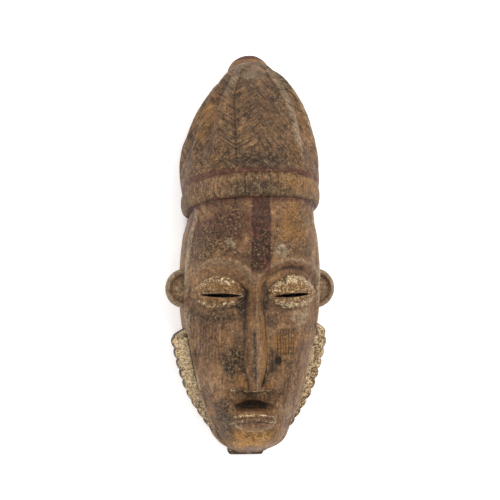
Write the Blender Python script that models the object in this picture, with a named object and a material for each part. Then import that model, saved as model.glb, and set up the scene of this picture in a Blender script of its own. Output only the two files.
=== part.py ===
"""A carved wooden face mask with a tall fluted headdress, lying on the rim of its hollow back.

Metres. +X is to the right of someone who looks the mask in the face, +Y runs from the chin to the
headdress, and +Z points out of the face. The rim of the hollow back lies in the plane Z = 0, and the
origin is in that plane, under the middle of the mask's length and width.
"""

import math

import bmesh
import bpy
import numpy as np
from mathutils import Matrix

# Driving dimensions of the whole mask
LENGTH = 0.380
HEAD_WIDTH = 0.132
DEPTH = 0.100
WALL = 0.015

# The head's form along its length: stations of (share of half the length, share of the full size)
HEAD_END_LOW = -0.988
HEAD_END_HIGH = 0.955
HALF_WIDTHS = (
    (-0.988, 0.0), (-0.965, 0.31), (-0.926, 0.455), (-0.826, 0.585), (-0.684, 0.75), (-0.574, 0.82),
    (-0.458, 0.885), (-0.32, 0.96), (-0.16, 0.98), (0.0, 0.965), (0.09, 0.935), (0.165, 0.88),
    (0.21, 0.87), (0.29, 0.95), (0.395, 0.995), (0.516, 0.97), (0.616, 0.885), (0.721, 0.755),
    (0.842, 0.500), (0.895, 0.362), (0.94, 0.205), (0.955, 0.0),
)
FRONT_DEPTHS = (
    (-0.988, 0.60), (-0.926, 0.68), (-0.826, 0.76), (-0.684, 0.79), (-0.458, 0.81), (-0.247, 0.85),
    (-0.068, 0.93), (0.079, 0.99), (0.29, 0.98), (0.395, 1.0), (0.516, 0.98), (0.616, 0.93),
    (0.721, 0.86), (0.842, 0.75), (0.955, 0.60),
)
WIDEST_HEIGHTS = (
    (-0.988, 0.10), (-0.90, 0.04), (-0.60, 0.04), (-0.30, 0.04), (0.0, 0.08), (0.10, 0.14), (0.20, 0.27),
    (0.45, 0.24), (0.60, 0.35), (0.80, 0.55), (0.90, 0.52), (0.955, 0.38),
)
FRONT_SQUARENESS = ((-0.988, 2.6), (-0.6, 2.8), (-0.2, 3.1), (0.08, 2.7), (0.4, 2.3), (0.955, 2.2))
BACK_SQUARENESS = 4.0
END_SQUARENESS = 16
BELOW_RIM = 0.012

# The headdress's flutes, by the angle from the front at which each crest runs up to the crown
CREST_ANGLES = (37.0, 62.0, 87.0, 112.0)
CREST_SPREADS = ((0.2, 1.0), (0.62, 1.0), (0.75, 1.08), (0.845, 1.25), (0.90, 1.50), (0.955, 1.8))
FLUTE_DEPTH = 0.0054
PANEL_DEPTH = 0.0036
PANEL_GROOVE = 0.021
PANEL_GROOVE_SHARE = 0.46
FLUTE_SQUARENESS = 2.3
FLUTE_RUN_IN = 0.045
NARROW_CROWN = 0.010
WIDE_CROWN = 0.030

# The band that is tied round the headdress's foot, lower at the back than at the front
BAND_LEVEL = 0.338
BAND_TILT = 0.20
BAND_LEAN = 0.022
BAND_HEIGHT = 0.0235
BAND_THICKNESS = 0.0165
BAND_SIDE_STAND = 0.0005
BAND_FRONT_STAND = 0.0055

# The bun behind the crown
KNOB_HALF_WIDTH = 0.0205
KNOB_HALF_HEIGHT = 0.0190
KNOB_HALF_DEPTH = 0.0175
KNOB_BACK = 0.0205

# Ears
EAR_LEVEL = -0.165
EAR_HEIGHT = 0.037
EAR_REACH = 0.0165
EAR_THICKNESS = 0.014
EAR_BACK = 0.036
EAR_GROOVE_DEPTH = 0.0042
EAR_GROOVE_PLACE = 0.60
EAR_GROOVE_HALF_WIDTH = 0.17
EAR_BOWL = 0.45
EAR_TURN = 14.0
EAR_ROOT = 0.002

# The notched beard border that runs from cheek to cheek behind the chin
BEARD_TOP = -0.262
LEFT_SHOULDER = (-0.335, -0.410)
RIGHT_SHOULDER = (-0.285, -0.385)
BEARD_REACH = 0.0136
BEARD_REACHES = (
    (-1.0, 0.20), (-0.90, 0.25), (-0.80, 0.45), (-0.72, 0.68), (-0.60, 0.92), (-0.44, 1.05), (-0.3, 1.0),
)
BEARD_THICKNESS = 0.022
BEARD_SQUARENESS = 9.0
BEARD_BACK = 0.022
BEARD_ROOT = 0.004
BEARD_TIP_HALF_WIDTH = 0.0304
NOTCH_PITCH = 0.0104
NOTCH_DEPTH = 0.0026
NOTCH_END = -0.90

# The ledge under the chin, a little to one side as it was carved
LEDGE_SIZE = (0.034, 0.024, 0.016)
LEDGE_CENTRE = (-0.003, (LEDGE_SIZE[1] - LENGTH) / 2, LEDGE_SIZE[2])
LEDGE_ROUNDING = 0.003

# The face: levels are shares of half the length, places across are shares of half the head's width
EYE_LEVEL = -0.188
EYE_OUT = 0.525
LID_HALF_LENGTH = 0.0245
LID_UPPER = 0.0175
LID_LOWER = 0.0130
LID_STAND = 0.0085
LID_PARTING_DEPTH = 0.0018
LID_PARTING_HALF_HEIGHT = 0.0055
SLIT_LEVEL = -0.192
SLIT_OUT = 0.498
SLIT_LENGTH = 0.0365
SLIT_HEIGHT = 0.0048
SLIT_INNER_END = 0.48
LEFT_SLIT_SLOPE = -0.015
RIGHT_SLIT_SLOPE = 0.050
BROW_LEVEL = -0.190
BROW_OUT = 0.50
BROW_HALF_WIDTH = 0.0310
BROW_HALF_HEIGHT = 0.0285
BROW_DROP = 0.0080
BROW_SHELF = (1.13, 0.86)
BROW_RIDGE = 0.0018
BROW_RIDGE_PLACE = 1.16
BROW_RIDGE_SPREAD = 0.10
BROW_FADE = (-0.44, -0.24)
NOSE_HEIGHTS = (
    (-0.68, 0.0135), (-0.62, 0.0160), (-0.42, 0.0130), (-0.28, 0.0085), (-0.18, 0.0035), (-0.11, 0.0),
)
NOSE_HALF_WIDTHS = (
    (-0.68, 0.0052), (-0.63, 0.0060), (-0.58, 0.0086), (-0.52, 0.0104), (-0.42, 0.0100), (-0.28, 0.0090),
    (-0.18, 0.0075), (-0.11, 0.0060),
)
NOSE_SHIFT = -0.0018
NOSE_ROUNDNESS = 1.2
NOSE_FOOT_RUN = 0.014
NOSE_FOOT = -0.648
WING_LEVEL = -0.604
WING_OUT = 0.0135
WING_HALF_WIDTH = 0.0085
WING_HALF_HEIGHT = 0.0085
WING_STAND = 0.0028
WING_EDGE = (1.10, 0.50)
CHEEK_HOLLOW_LEVEL = -0.515
CHEEK_HOLLOW_OUT = 0.0165
CHEEK_HOLLOW_HALF_WIDTH = 0.0085
CHEEK_HOLLOW_HALF_HEIGHT = 0.020
CHEEK_HOLLOW_DEPTH = 0.0034
LIP_HOLLOW_DEPTHS = (
    (-0.768, 0.0), (-0.755, 0.0030), (-0.745, 0.0095), (-0.735, 0.0135), (-0.720, 0.0130), (-0.695, 0.0095),
    (-0.672, 0.0062), (-0.656, 0.0040), (-0.645, 0.0005), (-0.640, 0.0),
)
LIP_HOLLOW_LEVELS = (-0.735, -0.650)
LIP_HOLLOW_HALF_WIDTHS = (0.0175, 0.0270)
MOUTH_LOW = -0.846
MOUTH_HIGH = -0.760
MOUTH_HALF_WIDTHS = (
    (-0.870, 0.0080), (-0.850, 0.0130), (-0.825, 0.0175), (-0.795, 0.0205), (-0.760, 0.0212),
    (-0.730, 0.0200),
)
MOUTH_STAND = 0.0115
MOUTH_SQUARENESS = 2.6
MOUTH_FOOT = (-0.018, 0.028)
MOUTH_ROOF = 0.026
MOUTH_ARCH = 0.0050
MOUTH_LINE = -0.794
MOUTH_LINE_DEPTH = 0.0030
MOUTH_LINE_HALF_HEIGHT = 0.0020
FACING_START = 0.020
FACING_END = 0.045
EDGE_ANGLE = 62.0
EDGE_HALF_ANGLE = 4.0
EDGE_STAND = 0.0020
EDGE_TOP = (0.056, 0.046)
EDGE_FOOT = (-0.97, -0.90)

# The hollow back
HOLLOW_END_LOW = -0.875
HOLLOW_END_HIGH = 0.815
HOLLOW_END_SQUARENESS = 10

# Facets
AROUND, ALONG = 112, 136
OUTSIDE_TRIANGLES = 7100

COLLECTION = "yaure mask"
HALF_LENGTH = LENGTH / 2
HALF_WIDTH = HEAD_WIDTH / 2


def through(stations, at):
    """A smooth curve through stations of (place, value), read at the places in at."""
    places, values = np.array(stations, float).T
    slopes = np.gradient(values, places)
    first = np.clip(np.searchsorted(places, at) - 1, 0, len(places) - 2)
    span = places[first + 1] - places[first]
    t = np.clip((at - places[first]) / span, 0, 1)
    start = (2 * t**3 - 3 * t**2 + 1) * values[first] + (t**3 - 2 * t**2 + t) * span * slopes[first]
    end = (3 * t**2 - 2 * t**3) * values[first + 1] + (t**3 - t**2) * span * slopes[first + 1]
    return start + end


def rounded(stations, at):
    """As through, but of the squared values, so that an end at zero closes in a round nose."""
    squares = [(place, value**2) for place, value in stations]
    return np.sqrt(np.maximum(through(squares, at), 0))


def ramp(at, low, high):
    """0 up to low, 1 from high on, and a smooth rise between; low may be the larger of the two."""
    t = np.clip((at - low) / (high - low), 0, 1)
    return t * t * (3 - 2 * t)


def groove(off, half_height, depth):
    """A round groove or ridge at off = 0."""
    return depth * np.maximum(1 - (off / half_height) ** 2, 0)


def half_width(y):
    return HALF_WIDTH * rounded(HALF_WIDTHS, y / HALF_LENGTH)


def front_depth(y):
    return DEPTH * through(FRONT_DEPTHS, y / HALF_LENGTH)


def widest_height(y):
    """How high above the rim's plane the head is at its widest."""
    return DEPTH * through(WIDEST_HEIGHTS, y / HALF_LENGTH)


def section(angle, power):
    """(across, out) on a rounded square of half size 1, at an angle from straight out."""
    across, out = np.sin(angle), np.cos(angle)
    reach = (np.abs(across) ** power + np.abs(out) ** power) ** (-1 / power)
    return across * reach, out * reach


def squareness(angle, y):
    front = through(FRONT_SQUARENESS, y / HALF_LENGTH)
    return np.where(np.cos(angle) > 0, front, BACK_SQUARENESS)


def between_ends(along, low, high):
    """Levels from one end (-1) to the other (1), given as shares of half the length."""
    return ((low + high) / 2 + (high - low) / 2 * along) * HALF_LENGTH


def head_form(points):
    """Places points of a unit sphere with poles on Y on the plain head, which runs below the rim."""
    y = between_ends(points[:, 1], HEAD_END_LOW, HEAD_END_HIGH)
    closing = np.sqrt(1 - np.abs(points[:, 1]) ** END_SQUARENESS)
    angle = np.arctan2(points[:, 0], points[:, 2])
    across, out = section(angle, squareness(angle, y))
    middle = widest_height(y)
    rise = np.where(out > 0, front_depth(y) - middle, middle + BELOW_RIM) * closing
    return np.column_stack([across * half_width(y), y, middle + out * rise])


def moved_sphere(name, around, along, place):
    """A mesh from a unit sphere with its poles on Y, whose points go where place says."""
    bm = bmesh.new()
    upright = Matrix.Rotation(math.radians(90), 4, "X")
    bmesh.ops.create_uvsphere(bm, u_segments=around, v_segments=along, radius=1, matrix=upright)
    placed = place(np.array([vertex.co for vertex in bm.verts]))
    for vertex, co in zip(bm.verts, placed):
        vertex.co = co
    bmesh.ops.recalc_face_normals(bm, faces=bm.faces)
    mesh = bpy.data.meshes.new(name)
    bm.to_mesh(mesh)
    bm.free()
    return mesh


def coordinates(mesh):
    co = np.zeros(len(mesh.vertices) * 3, np.float32)
    mesh.vertices.foreach_get("co", co)
    return co.reshape(-1, 3).astype(float)


def outward(mesh):
    """The unit normal at each vertex of a mesh."""
    normals = np.zeros(len(mesh.vertices) * 3, np.float32)
    mesh.vertex_normals.foreach_get("vector", normals)
    return normals.reshape(-1, 3).astype(float)


def tilted_level(x, y, z):
    """The level along the mask in the band's plane, which falls to the back and to the left."""
    return y + BAND_TILT * (DEPTH - z) - BAND_LEAN * x


def flutes(angle, x, y, z):
    """How deep the headdress is cut at each point between the crests of its flutes."""
    crests = np.radians(CREST_ANGLES)
    spread = through(CREST_SPREADS, np.maximum(y / HALF_LENGTH, CREST_SPREADS[0][0]))
    turn = np.abs(angle) / spread
    wide = np.maximum(half_width(y), 1e-6)
    depth = np.zeros_like(turn)
    for near, far in zip(crests, crests[1:]):
        share = np.clip((turn - near) / (far - near), 0, 1)
        depth += FLUTE_DEPTH * np.sin(math.pi * share) ** 1.3
    crest_x = wide * section(np.minimum(crests[0] * spread, math.pi / 2), FLUTE_SQUARENESS)[0]
    groove_x = np.minimum(PANEL_GROOVE, PANEL_GROOVE_SHARE * wide)
    inner = np.clip(np.abs(x) / groove_x, 0, 1) ** 2
    outer = np.clip((np.abs(x) - groove_x) / (crest_x - groove_x), 0, 1) ** 2
    depth += np.where(turn < crests[0], PANEL_DEPTH * (inner - outer), 0)
    band_top = BAND_LEVEL * HALF_LENGTH + BAND_HEIGHT / 2
    level = tilted_level(x, y, z)
    above_band = ramp(level, band_top, band_top + FLUTE_RUN_IN)
    return depth * above_band * ramp(wide, NARROW_CROWN, WIDE_CROWN)


def edge_crest(angle, x, y, z):
    """How far the narrow crest down each edge of the face stands out."""
    share = (np.abs(angle) - math.radians(EDGE_ANGLE)) / math.radians(EDGE_HALF_ANGLE)
    below_band = ramp(tilted_level(x, y, z), *EDGE_TOP)
    above_chin = ramp(y / HALF_LENGTH, *EDGE_FOOT)
    return EDGE_STAND * np.maximum(1 - share**2, 0) * below_band * above_chin


def brows(x, y):
    """The sunk eye sockets under two arched brows."""
    across = (np.abs(x - NOSE_SHIFT) - BROW_OUT * HALF_WIDTH) / BROW_HALF_WIDTH
    up = np.maximum(y - BROW_LEVEL * HALF_LENGTH, 0) / BROW_HALF_HEIGHT
    reach = np.hypot(across, up)
    drop = BROW_DROP * ramp(reach, *BROW_SHELF) * ramp(y / HALF_LENGTH, *BROW_FADE)
    ridge = groove(reach - BROW_RIDGE_PLACE, BROW_RIDGE_SPREAD, BROW_RIDGE) * ramp(up, 0.0, 0.25)
    return ridge - drop * ramp(np.abs(x) / np.maximum(half_width(y), 1e-6), 0.99, 0.88)


def nose(x, y):
    """A long straight nose with a narrow ridge, a little to the left as it was carved."""
    level = np.clip(y / HALF_LENGTH, NOSE_HEIGHTS[0][0], NOSE_HEIGHTS[-1][0])
    side = np.clip(1 - np.abs(x - NOSE_SHIFT) / through(NOSE_HALF_WIDTHS, level), 0, 1)
    foot = ramp(y / HALF_LENGTH, NOSE_FOOT - NOSE_FOOT_RUN, NOSE_FOOT)
    return through(NOSE_HEIGHTS, level) * foot * (1 - (1 - side) ** NOSE_ROUNDNESS)


def nose_wings(x, y):
    """The flat lobes at both sides of the nose's foot, and the hollows of the cheeks above them."""
    across = np.abs((np.abs(x) - WING_OUT) / WING_HALF_WIDTH)
    up = np.abs((y - WING_LEVEL * HALF_LENGTH) / WING_HALF_HEIGHT)
    wing = WING_STAND * ramp((across**3 + up**3) ** (1 / 3), *WING_EDGE)
    beside = (np.abs(x) - CHEEK_HOLLOW_OUT) / CHEEK_HOLLOW_HALF_WIDTH
    along = (y - CHEEK_HOLLOW_LEVEL * HALF_LENGTH) / CHEEK_HOLLOW_HALF_HEIGHT
    return wing - CHEEK_HOLLOW_DEPTH * ramp(np.hypot(beside, along), 1.0, 0.0)


def lids(x, y):
    """Two bulging almond lids, parted by a furrow."""
    along = np.clip(np.abs(np.abs(x) - EYE_OUT * HALF_WIDTH) / LID_HALF_LENGTH, 0, 1)
    off = y - EYE_LEVEL * HALF_LENGTH
    reach = np.where(off > 0, LID_UPPER, LID_LOWER) * (1 - along**2) ** 0.75
    across = np.clip(np.abs(off) / np.maximum(reach, 1e-6), 0, 1)
    furrow = np.maximum(1 - ((y - SLIT_LEVEL * HALF_LENGTH) / LID_PARTING_HALF_HEIGHT) ** 2, 0)
    furrow *= ramp(along, 0.95, 0.60)
    return LID_STAND * (1 - across**2) ** 0.55 * (1 - along**2) ** 0.30 - LID_PARTING_DEPTH * furrow


def mouth(x, y):
    """A small mouth that juts out under a hollow upper lip."""
    level = y / HALF_LENGTH
    x = x - NOSE_SHIFT
    hollow = through(LIP_HOLLOW_DEPTHS, np.clip(level, LIP_HOLLOW_DEPTHS[0][0], LIP_HOLLOW_DEPTHS[-1][0]))
    hollow_wide = np.interp(level, LIP_HOLLOW_LEVELS, LIP_HOLLOW_HALF_WIDTHS)
    hollow *= np.clip(1 - (x / hollow_wide) ** 2, 0, 1) ** 0.7
    wide = through(MOUTH_HALF_WIDTHS, np.clip(level, MOUTH_HALF_WIDTHS[0][0], MOUTH_HALF_WIDTHS[-1][0]))
    stand = ramp(level, MOUTH_LOW + MOUTH_FOOT[0], MOUTH_LOW + MOUTH_FOOT[1])
    arch = MOUTH_ARCH / HALF_LENGTH * (x / MOUTH_HALF_WIDTHS[-2][1]) ** 2
    stand *= ramp(level + arch, MOUTH_HIGH + MOUTH_ROOF, MOUTH_HIGH)
    stand *= np.clip(1 - np.abs(x / wide) ** MOUTH_SQUARENESS, 0, 1) ** 0.75
    line = groove((level - MOUTH_LINE) * HALF_LENGTH, MOUTH_LINE_HALF_HEIGHT, MOUTH_LINE_DEPTH)
    return MOUTH_STAND * stand - hollow - line * ramp(np.abs(x), 0.95 * wide, 0.75 * wide)


def carved_head():
    """The head with its flutes, brows, eyes, nose and mouth, before it is hollowed."""
    mesh = moved_sphere("head", AROUND, ALONG, head_form)
    plain, normals = coordinates(mesh), outward(mesh)
    x, y, z = plain.T
    middle = widest_height(y)
    rise = np.where(z > middle, front_depth(y) - middle, middle + BELOW_RIM)
    angle = np.arctan2(x / np.maximum(half_width(y), 1e-6), (z - middle) / rise)
    lift = edge_crest(angle, x, y, z) - flutes(angle, x, y, z)
    carved = plain + normals * lift[:, None]
    facing = ramp(z, FACING_START, FACING_END)
    carved[:, 2] += facing * (brows(x, y) + nose(x, y) + nose_wings(x, y) + lids(x, y) + mouth(x, y))
    mesh.vertices.foreach_set("co", carved.astype(np.float32).ravel())
    return mesh


def band():
    """The rolled band: a tube that follows the head's section in a tilted plane."""
    level = BAND_LEVEL * HALF_LENGTH
    wide = half_width(level) + BAND_SIDE_STAND - BAND_THICKNESS / 2
    deep = front_depth(level) + BAND_FRONT_STAND - BAND_THICKNESS / 2
    bpy.ops.mesh.primitive_torus_add(
        major_segments=96, minor_segments=16, major_radius=1, minor_radius=0.25,
        rotation=(math.radians(90), 0, 0),
    )
    tube = bpy.context.object
    tube.data.transform(tube.matrix_world)
    tube.matrix_world = Matrix.Identity(4)
    points = coordinates(tube.data)
    angle = np.arctan2(points[:, 0], points[:, 2])
    out_of_ring = (np.hypot(points[:, 0], points[:, 2]) - 1) / 0.25
    up = points[:, 1] / 0.25
    roll = (np.abs(out_of_ring) ** 2.5 + np.abs(up) ** 2.5) ** (-1 / 2.5)
    across, out = section(angle, 2.4)
    middle = widest_height(level)
    height = middle + out * np.where(out > 0, deep - middle, middle + BELOW_RIM)
    away = np.column_stack([across, np.zeros_like(angle), out])
    away /= np.linalg.norm(away, axis=1)[:, None]
    ring = np.column_stack([across * wide, level - BAND_TILT * (deep - height), height])
    placed = ring + away * (out_of_ring * roll * BAND_THICKNESS / 2)[:, None]
    placed[:, 1] += up * roll * BAND_HEIGHT / 2 + BAND_LEAN * placed[:, 0]
    tube.data.vertices.foreach_set("co", placed.astype(np.float32).ravel())
    return tube


def knob_form(points):
    """The bun behind the crown, whose top is the mask's highest point."""
    centre = np.array([0, HALF_LENGTH - KNOB_HALF_HEIGHT, KNOB_BACK])
    return centre + points * (KNOB_HALF_WIDTH, KNOB_HALF_HEIGHT, KNOB_HALF_DEPTH)


def ear_form(points):
    """A half round ear with a raised rim, a curved groove and a lobe in the middle, at +X."""
    flat = np.hypot(points[:, 0], points[:, 1])
    front = points[:, 2] > 0
    z = EAR_THICKNESS / 2 * np.sign(points[:, 2]) * np.maximum(1 - flat**4, 0) ** 0.5
    cut = groove(flat - EAR_GROOVE_PLACE, EAR_GROOVE_HALF_WIDTH, 1)
    cut += EAR_BOWL * ramp(flat, EAR_GROOVE_PLACE, EAR_GROOVE_PLACE / 2)
    z -= np.where(front, EAR_GROOVE_DEPTH * np.clip(cut, 0, 1), 0)
    level = EAR_LEVEL * HALF_LENGTH
    turn = math.radians(EAR_TURN)
    reach = (EAR_REACH + EAR_ROOT) * points[:, 0]
    x = half_width(level) - EAR_ROOT + reach * math.cos(turn)
    y = level + points[:, 1] * EAR_HEIGHT / 2
    return np.column_stack([x, y, EAR_BACK + z - reach * math.sin(turn)])


def notches():
    """(levels, inward cut) down the beard's edge, whose scallops have an even pitch along it."""
    levels = np.linspace(LEFT_SHOULDER[1] * HALF_LENGTH, -HALF_LENGTH, 600)
    edge = beard_half_width(levels, 1)
    along = np.concatenate([[0], np.cumsum(np.hypot(np.diff(levels), np.diff(edge)))])
    share = 2 * ((along / NOTCH_PITCH) % 1) - 1
    cut = NOTCH_DEPTH * (1 - np.sqrt(1 - share**2 * 0.98))
    return levels, cut * ramp(levels / HALF_LENGTH, NOTCH_END, NOTCH_END + 0.06)


def beard_half_width(y, side):
    """The beard's plain outline at side -1 or 1, which closes under the chin."""
    level = y / HALF_LENGTH
    tip = ramp(level, -0.93, -0.80)
    reach = BEARD_REACH * through(BEARD_REACHES, np.clip(level, -1.0, -0.3))
    cheeks = half_width(np.maximum(y, HEAD_END_LOW * HALF_LENGTH)) + reach
    chin = BEARD_TIP_HALF_WIDTH * np.sqrt(np.clip((level + 1) / 0.10, 0, None))
    shoulder = np.where(side < 0, ramp(level, *LEFT_SHOULDER), ramp(level, *RIGHT_SHOULDER))
    cheeks = cheeks - (1 - shoulder) * (reach + BEARD_ROOT)
    return tip * cheeks + (1 - tip) * np.minimum(chin, cheeks)


def beard_form(points):
    """A flat wedge, thick inside the head and rounded at its notched edge."""
    low, high = -HALF_LENGTH, BEARD_TOP * HALF_LENGTH
    y = (low + high) / 2 + (high - low) / 2 * points[:, 1]
    levels, cut = notches()
    wide = beard_half_width(y, np.sign(points[:, 0])) - np.interp(-y, -levels, cut)
    wide *= np.sqrt(np.clip(1 - ((y - low) / (high - low)) ** 30, 0, 1))
    across, out = section(np.arctan2(points[:, 0], points[:, 2]), BEARD_SQUARENESS)
    thick = BEARD_THICKNESS / 2 * (1 - np.abs(points[:, 1]) ** 12)
    return np.column_stack([across * wide, y, BEARD_BACK + out * thick])


def chin_ledge():
    """The low ledge that shows under the chin, at the foot of the beard border."""
    bm = bmesh.new()
    size = Matrix.Diagonal((*LEDGE_SIZE, 1))
    bmesh.ops.create_cube(bm, size=1, matrix=Matrix.Translation(LEDGE_CENTRE) @ size)
    bmesh.ops.bevel(bm, geom=bm.edges[:], offset=LEDGE_ROUNDING, segments=3, profile=0.5, affect="EDGES")
    mesh = bpy.data.meshes.new("ledge")
    bm.to_mesh(mesh)
    bm.free()
    return mesh


def linked(mesh_or_object, name, collection):
    """An object in the given collection alone."""
    made = mesh_or_object
    if isinstance(made, bpy.types.Mesh):
        made = bpy.data.objects.new(name, made)
    for old in made.users_collection:
        old.objects.unlink(made)
    made.name = name
    collection.objects.link(made)
    return made


def mirrored(mesh):
    """A copy of a mesh on the other side of the mask."""
    twin = mesh.copy()
    twin.transform(Matrix.Scale(-1, 4, (1, 0, 0)))
    twin.flip_normals()
    return twin


def as_cutter(obj):
    obj.hide_render = True
    obj.display_type = "WIRE"
    return obj


def boolean(target, other, operation):
    modifier = target.modifiers.new(other.name, "BOOLEAN")
    modifier.operation = operation
    modifier.object = other


def hollow_form(points):
    """Places points of a unit sphere with poles on Y in the hollow: the plain head less the wall."""
    y = between_ends(points[:, 1], HOLLOW_END_LOW, HOLLOW_END_HIGH)
    closing = np.sqrt(1 - np.abs(points[:, 1]) ** HOLLOW_END_SQUARENESS)
    angle = np.arctan2(points[:, 0], points[:, 2])
    across, out = section(angle, squareness(angle, y))
    middle = widest_height(y)
    rise = np.where(out > 0, (front_depth(y) - WALL - middle) * closing, middle + BELOW_RIM)
    return np.column_stack([across * (half_width(y) - WALL) * closing, y, middle + out * rise])


def slit(side):
    """A cutter for one eye's slit: an almond prism from inside the hollow to past the lids."""
    bm = bmesh.new()
    bmesh.ops.create_cone(bm, cap_ends=True, segments=32, radius1=1, radius2=1, depth=1)
    slope = LEFT_SLIT_SLOPE if side < 0 else RIGHT_SLIT_SLOPE
    for vertex in bm.verts:
        x, y, z = vertex.co
        almond = y * (1 - x**2) ** 0.25 if abs(x) < 1 else 0
        vertex.co = (
            side * SLIT_OUT * HALF_WIDTH + x * SLIT_LENGTH / 2,
            SLIT_LEVEL * HALF_LENGTH + almond * SLIT_HEIGHT / 2 + slope * x * SLIT_LENGTH / 2,
            DEPTH * (SLIT_INNER_END + (1.1 - SLIT_INNER_END) * (z + 0.5)),
        )
    mesh = bpy.data.meshes.new("slit")
    bm.to_mesh(mesh)
    bm.free()
    return mesh


def floor_block():
    """A cutter for all that lies below the rim's plane."""
    bpy.ops.mesh.primitive_cube_add(size=1)
    block = bpy.context.object
    depth = 4 * BELOW_RIM
    size = Matrix.Diagonal((2 * LENGTH, 2 * LENGTH, depth, 1))
    block.data.transform(Matrix.Translation((0, 0, -depth / 2)) @ size)
    return block


def painted_wood():
    material = bpy.data.materials.new("weathered wood")
    material.use_nodes = True
    shader = material.node_tree.nodes["Principled BSDF"]
    shader.inputs["Base Color"].default_value = (0.176, 0.109, 0.062, 1)
    shader.inputs["Roughness"].default_value = 0.62
    shader.inputs["Metallic"].default_value = 0.0
    return material


def build_mask():
    shown = bpy.data.collections.new(COLLECTION)
    helpers = bpy.data.collections.new("cutters and joined forms")
    for collection in (shown, helpers):
        bpy.context.scene.collection.children.link(collection)

    ear = moved_sphere("ear", 48, 40, ear_form)
    joined = [
        linked(band(), "band roll", helpers),
        linked(moved_sphere("knob", 32, 20, knob_form), "knob bun", helpers),
        linked(chin_ledge(), "chin ledge", helpers),
        linked(ear, "right ear", helpers),
        linked(mirrored(ear), "left ear", helpers),
        linked(moved_sphere("beard", 40, 180, beard_form), "beard border", helpers),
    ]
    block = linked(carved_head(), "uncut head", helpers)
    for form in joined:
        boolean(block, as_cutter(form), "UNION")
    graph = bpy.context.evaluated_depsgraph_get()
    whole = bpy.data.meshes.new_from_object(block.evaluated_get(graph))
    as_cutter(block).modifiers.clear()

    mask = linked(whole, "mask", shown)
    whole.calc_loop_triangles()
    fewer = mask.modifiers.new("fewer facets", "DECIMATE")
    fewer.ratio = min(1.0, OUTSIDE_TRIANGLES / len(whole.loop_triangles))
    cutters = [
        linked(moved_sphere("hollow", 44, 40, hollow_form), "hollow back", helpers),
        linked(floor_block(), "below the rim", helpers),
        linked(slit(-1), "left eye slit", helpers),
        linked(slit(1), "right eye slit", helpers),
    ]
    for cutter in cutters:
        boolean(mask, as_cutter(cutter), "DIFFERENCE")
    whole.materials.clear()
    whole.materials.append(painted_wood())
    return mask


def main():
    for obj in list(bpy.data.objects):
        bpy.data.objects.remove(obj)
    build_mask()


main()
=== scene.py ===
"""Looks of a carved and painted wooden face mask that lies on the rim of its hollow back.

Metres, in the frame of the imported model: +X to the right of someone who looks the mask in the face,
+Y from the chin to the headdress, +Z out of the face, and the rim of the hollow back at Z = 0.
"""

import logging
import math
from collections.abc import Callable
from dataclasses import dataclass, field
from enum import Enum, IntEnum
from functools import cached_property

import bmesh
import bpy
import numpy as np
from bpy.types import Material, Mesh, Node, NodeSocket, NodeTree, Object
from mathutils import Matrix, Vector


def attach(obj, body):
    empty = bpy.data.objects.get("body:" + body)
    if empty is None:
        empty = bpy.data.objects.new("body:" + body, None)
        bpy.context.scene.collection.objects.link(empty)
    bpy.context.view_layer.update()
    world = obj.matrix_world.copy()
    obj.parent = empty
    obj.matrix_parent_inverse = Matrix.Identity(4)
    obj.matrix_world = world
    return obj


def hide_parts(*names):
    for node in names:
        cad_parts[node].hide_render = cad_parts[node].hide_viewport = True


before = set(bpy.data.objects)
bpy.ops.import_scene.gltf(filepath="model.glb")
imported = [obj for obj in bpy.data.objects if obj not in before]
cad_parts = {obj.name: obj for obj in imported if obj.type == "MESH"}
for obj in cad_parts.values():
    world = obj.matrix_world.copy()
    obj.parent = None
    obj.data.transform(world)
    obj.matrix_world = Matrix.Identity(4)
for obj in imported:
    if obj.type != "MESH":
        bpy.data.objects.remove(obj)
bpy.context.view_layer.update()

log = logging.getLogger("mask")

Array = np.ndarray
Stations = tuple[tuple[float, float], ...]
Triple = tuple[float, float, float]
MM = 0.001
TINY = 1e-6

PAINTS = ("ochre", "mauve", "grey", "dark", "cream", "red")
SMOOTH = {"interpolation_type": "SMOOTHSTEP"}
COLOURS = {"data_type": "RGBA"}


class Side(Enum):
    """A side of the mask, as seen by someone who looks it in the face."""

    LEFT = -1
    RIGHT = 1


class Cut(Enum):
    """How one closed form changes another."""

    JOIN = "UNION"
    REMOVE = "DIFFERENCE"


class Form(IntEnum):
    """The carved forms, in the order of the labels that their faces carry."""

    HEAD = 0
    BAND = 1
    BUN = 2
    LEDGE = 3
    EAR = 4
    BEARD = 5
    INSIDE = 6


def through(stations: Stations, at: Array) -> Array:
    """Reads a smooth curve through stations.

    Args:
        stations: pairs of (place, value), in rising order of place.
        at: the places to read.

    Returns:
        The curve's value at each place, and the end's value past an end.
    """
    places, values = np.array(stations, float).T
    slopes = np.gradient(values, places)
    first = np.clip(np.searchsorted(places, at) - 1, 0, len(places) - 2)
    span = places[first + 1] - places[first]
    t = np.clip((at - places[first]) / span, 0, 1)
    start = (2 * t**3 - 3 * t**2 + 1) * values[first] + (t**3 - 2 * t**2 + t) * span * slopes[first]
    end = (3 * t**2 - 2 * t**3) * values[first + 1] + (t**3 - t**2) * span * slopes[first + 1]
    return start + end


def rounded(stations: Stations, at: Array) -> Array:
    """As through, but of the squared values, so that an end at zero closes in a round nose."""
    squares = tuple((place, value**2) for place, value in stations)
    return np.sqrt(np.maximum(through(squares, at), 0))


def ramp(at: Array, low: float | Array, high: float | Array) -> Array:
    """0 up to low, 1 from high on, and a smooth rise between; low may be the larger of the two."""
    t = np.clip((at - low) / (high - low), 0, 1)
    return t * t * (3 - 2 * t)


def hump(off: Array, half_width: float) -> Array:
    """A round ridge of height 1 at off = 0."""
    return np.maximum(1 - (off / half_width) ** 2, 0)


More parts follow.
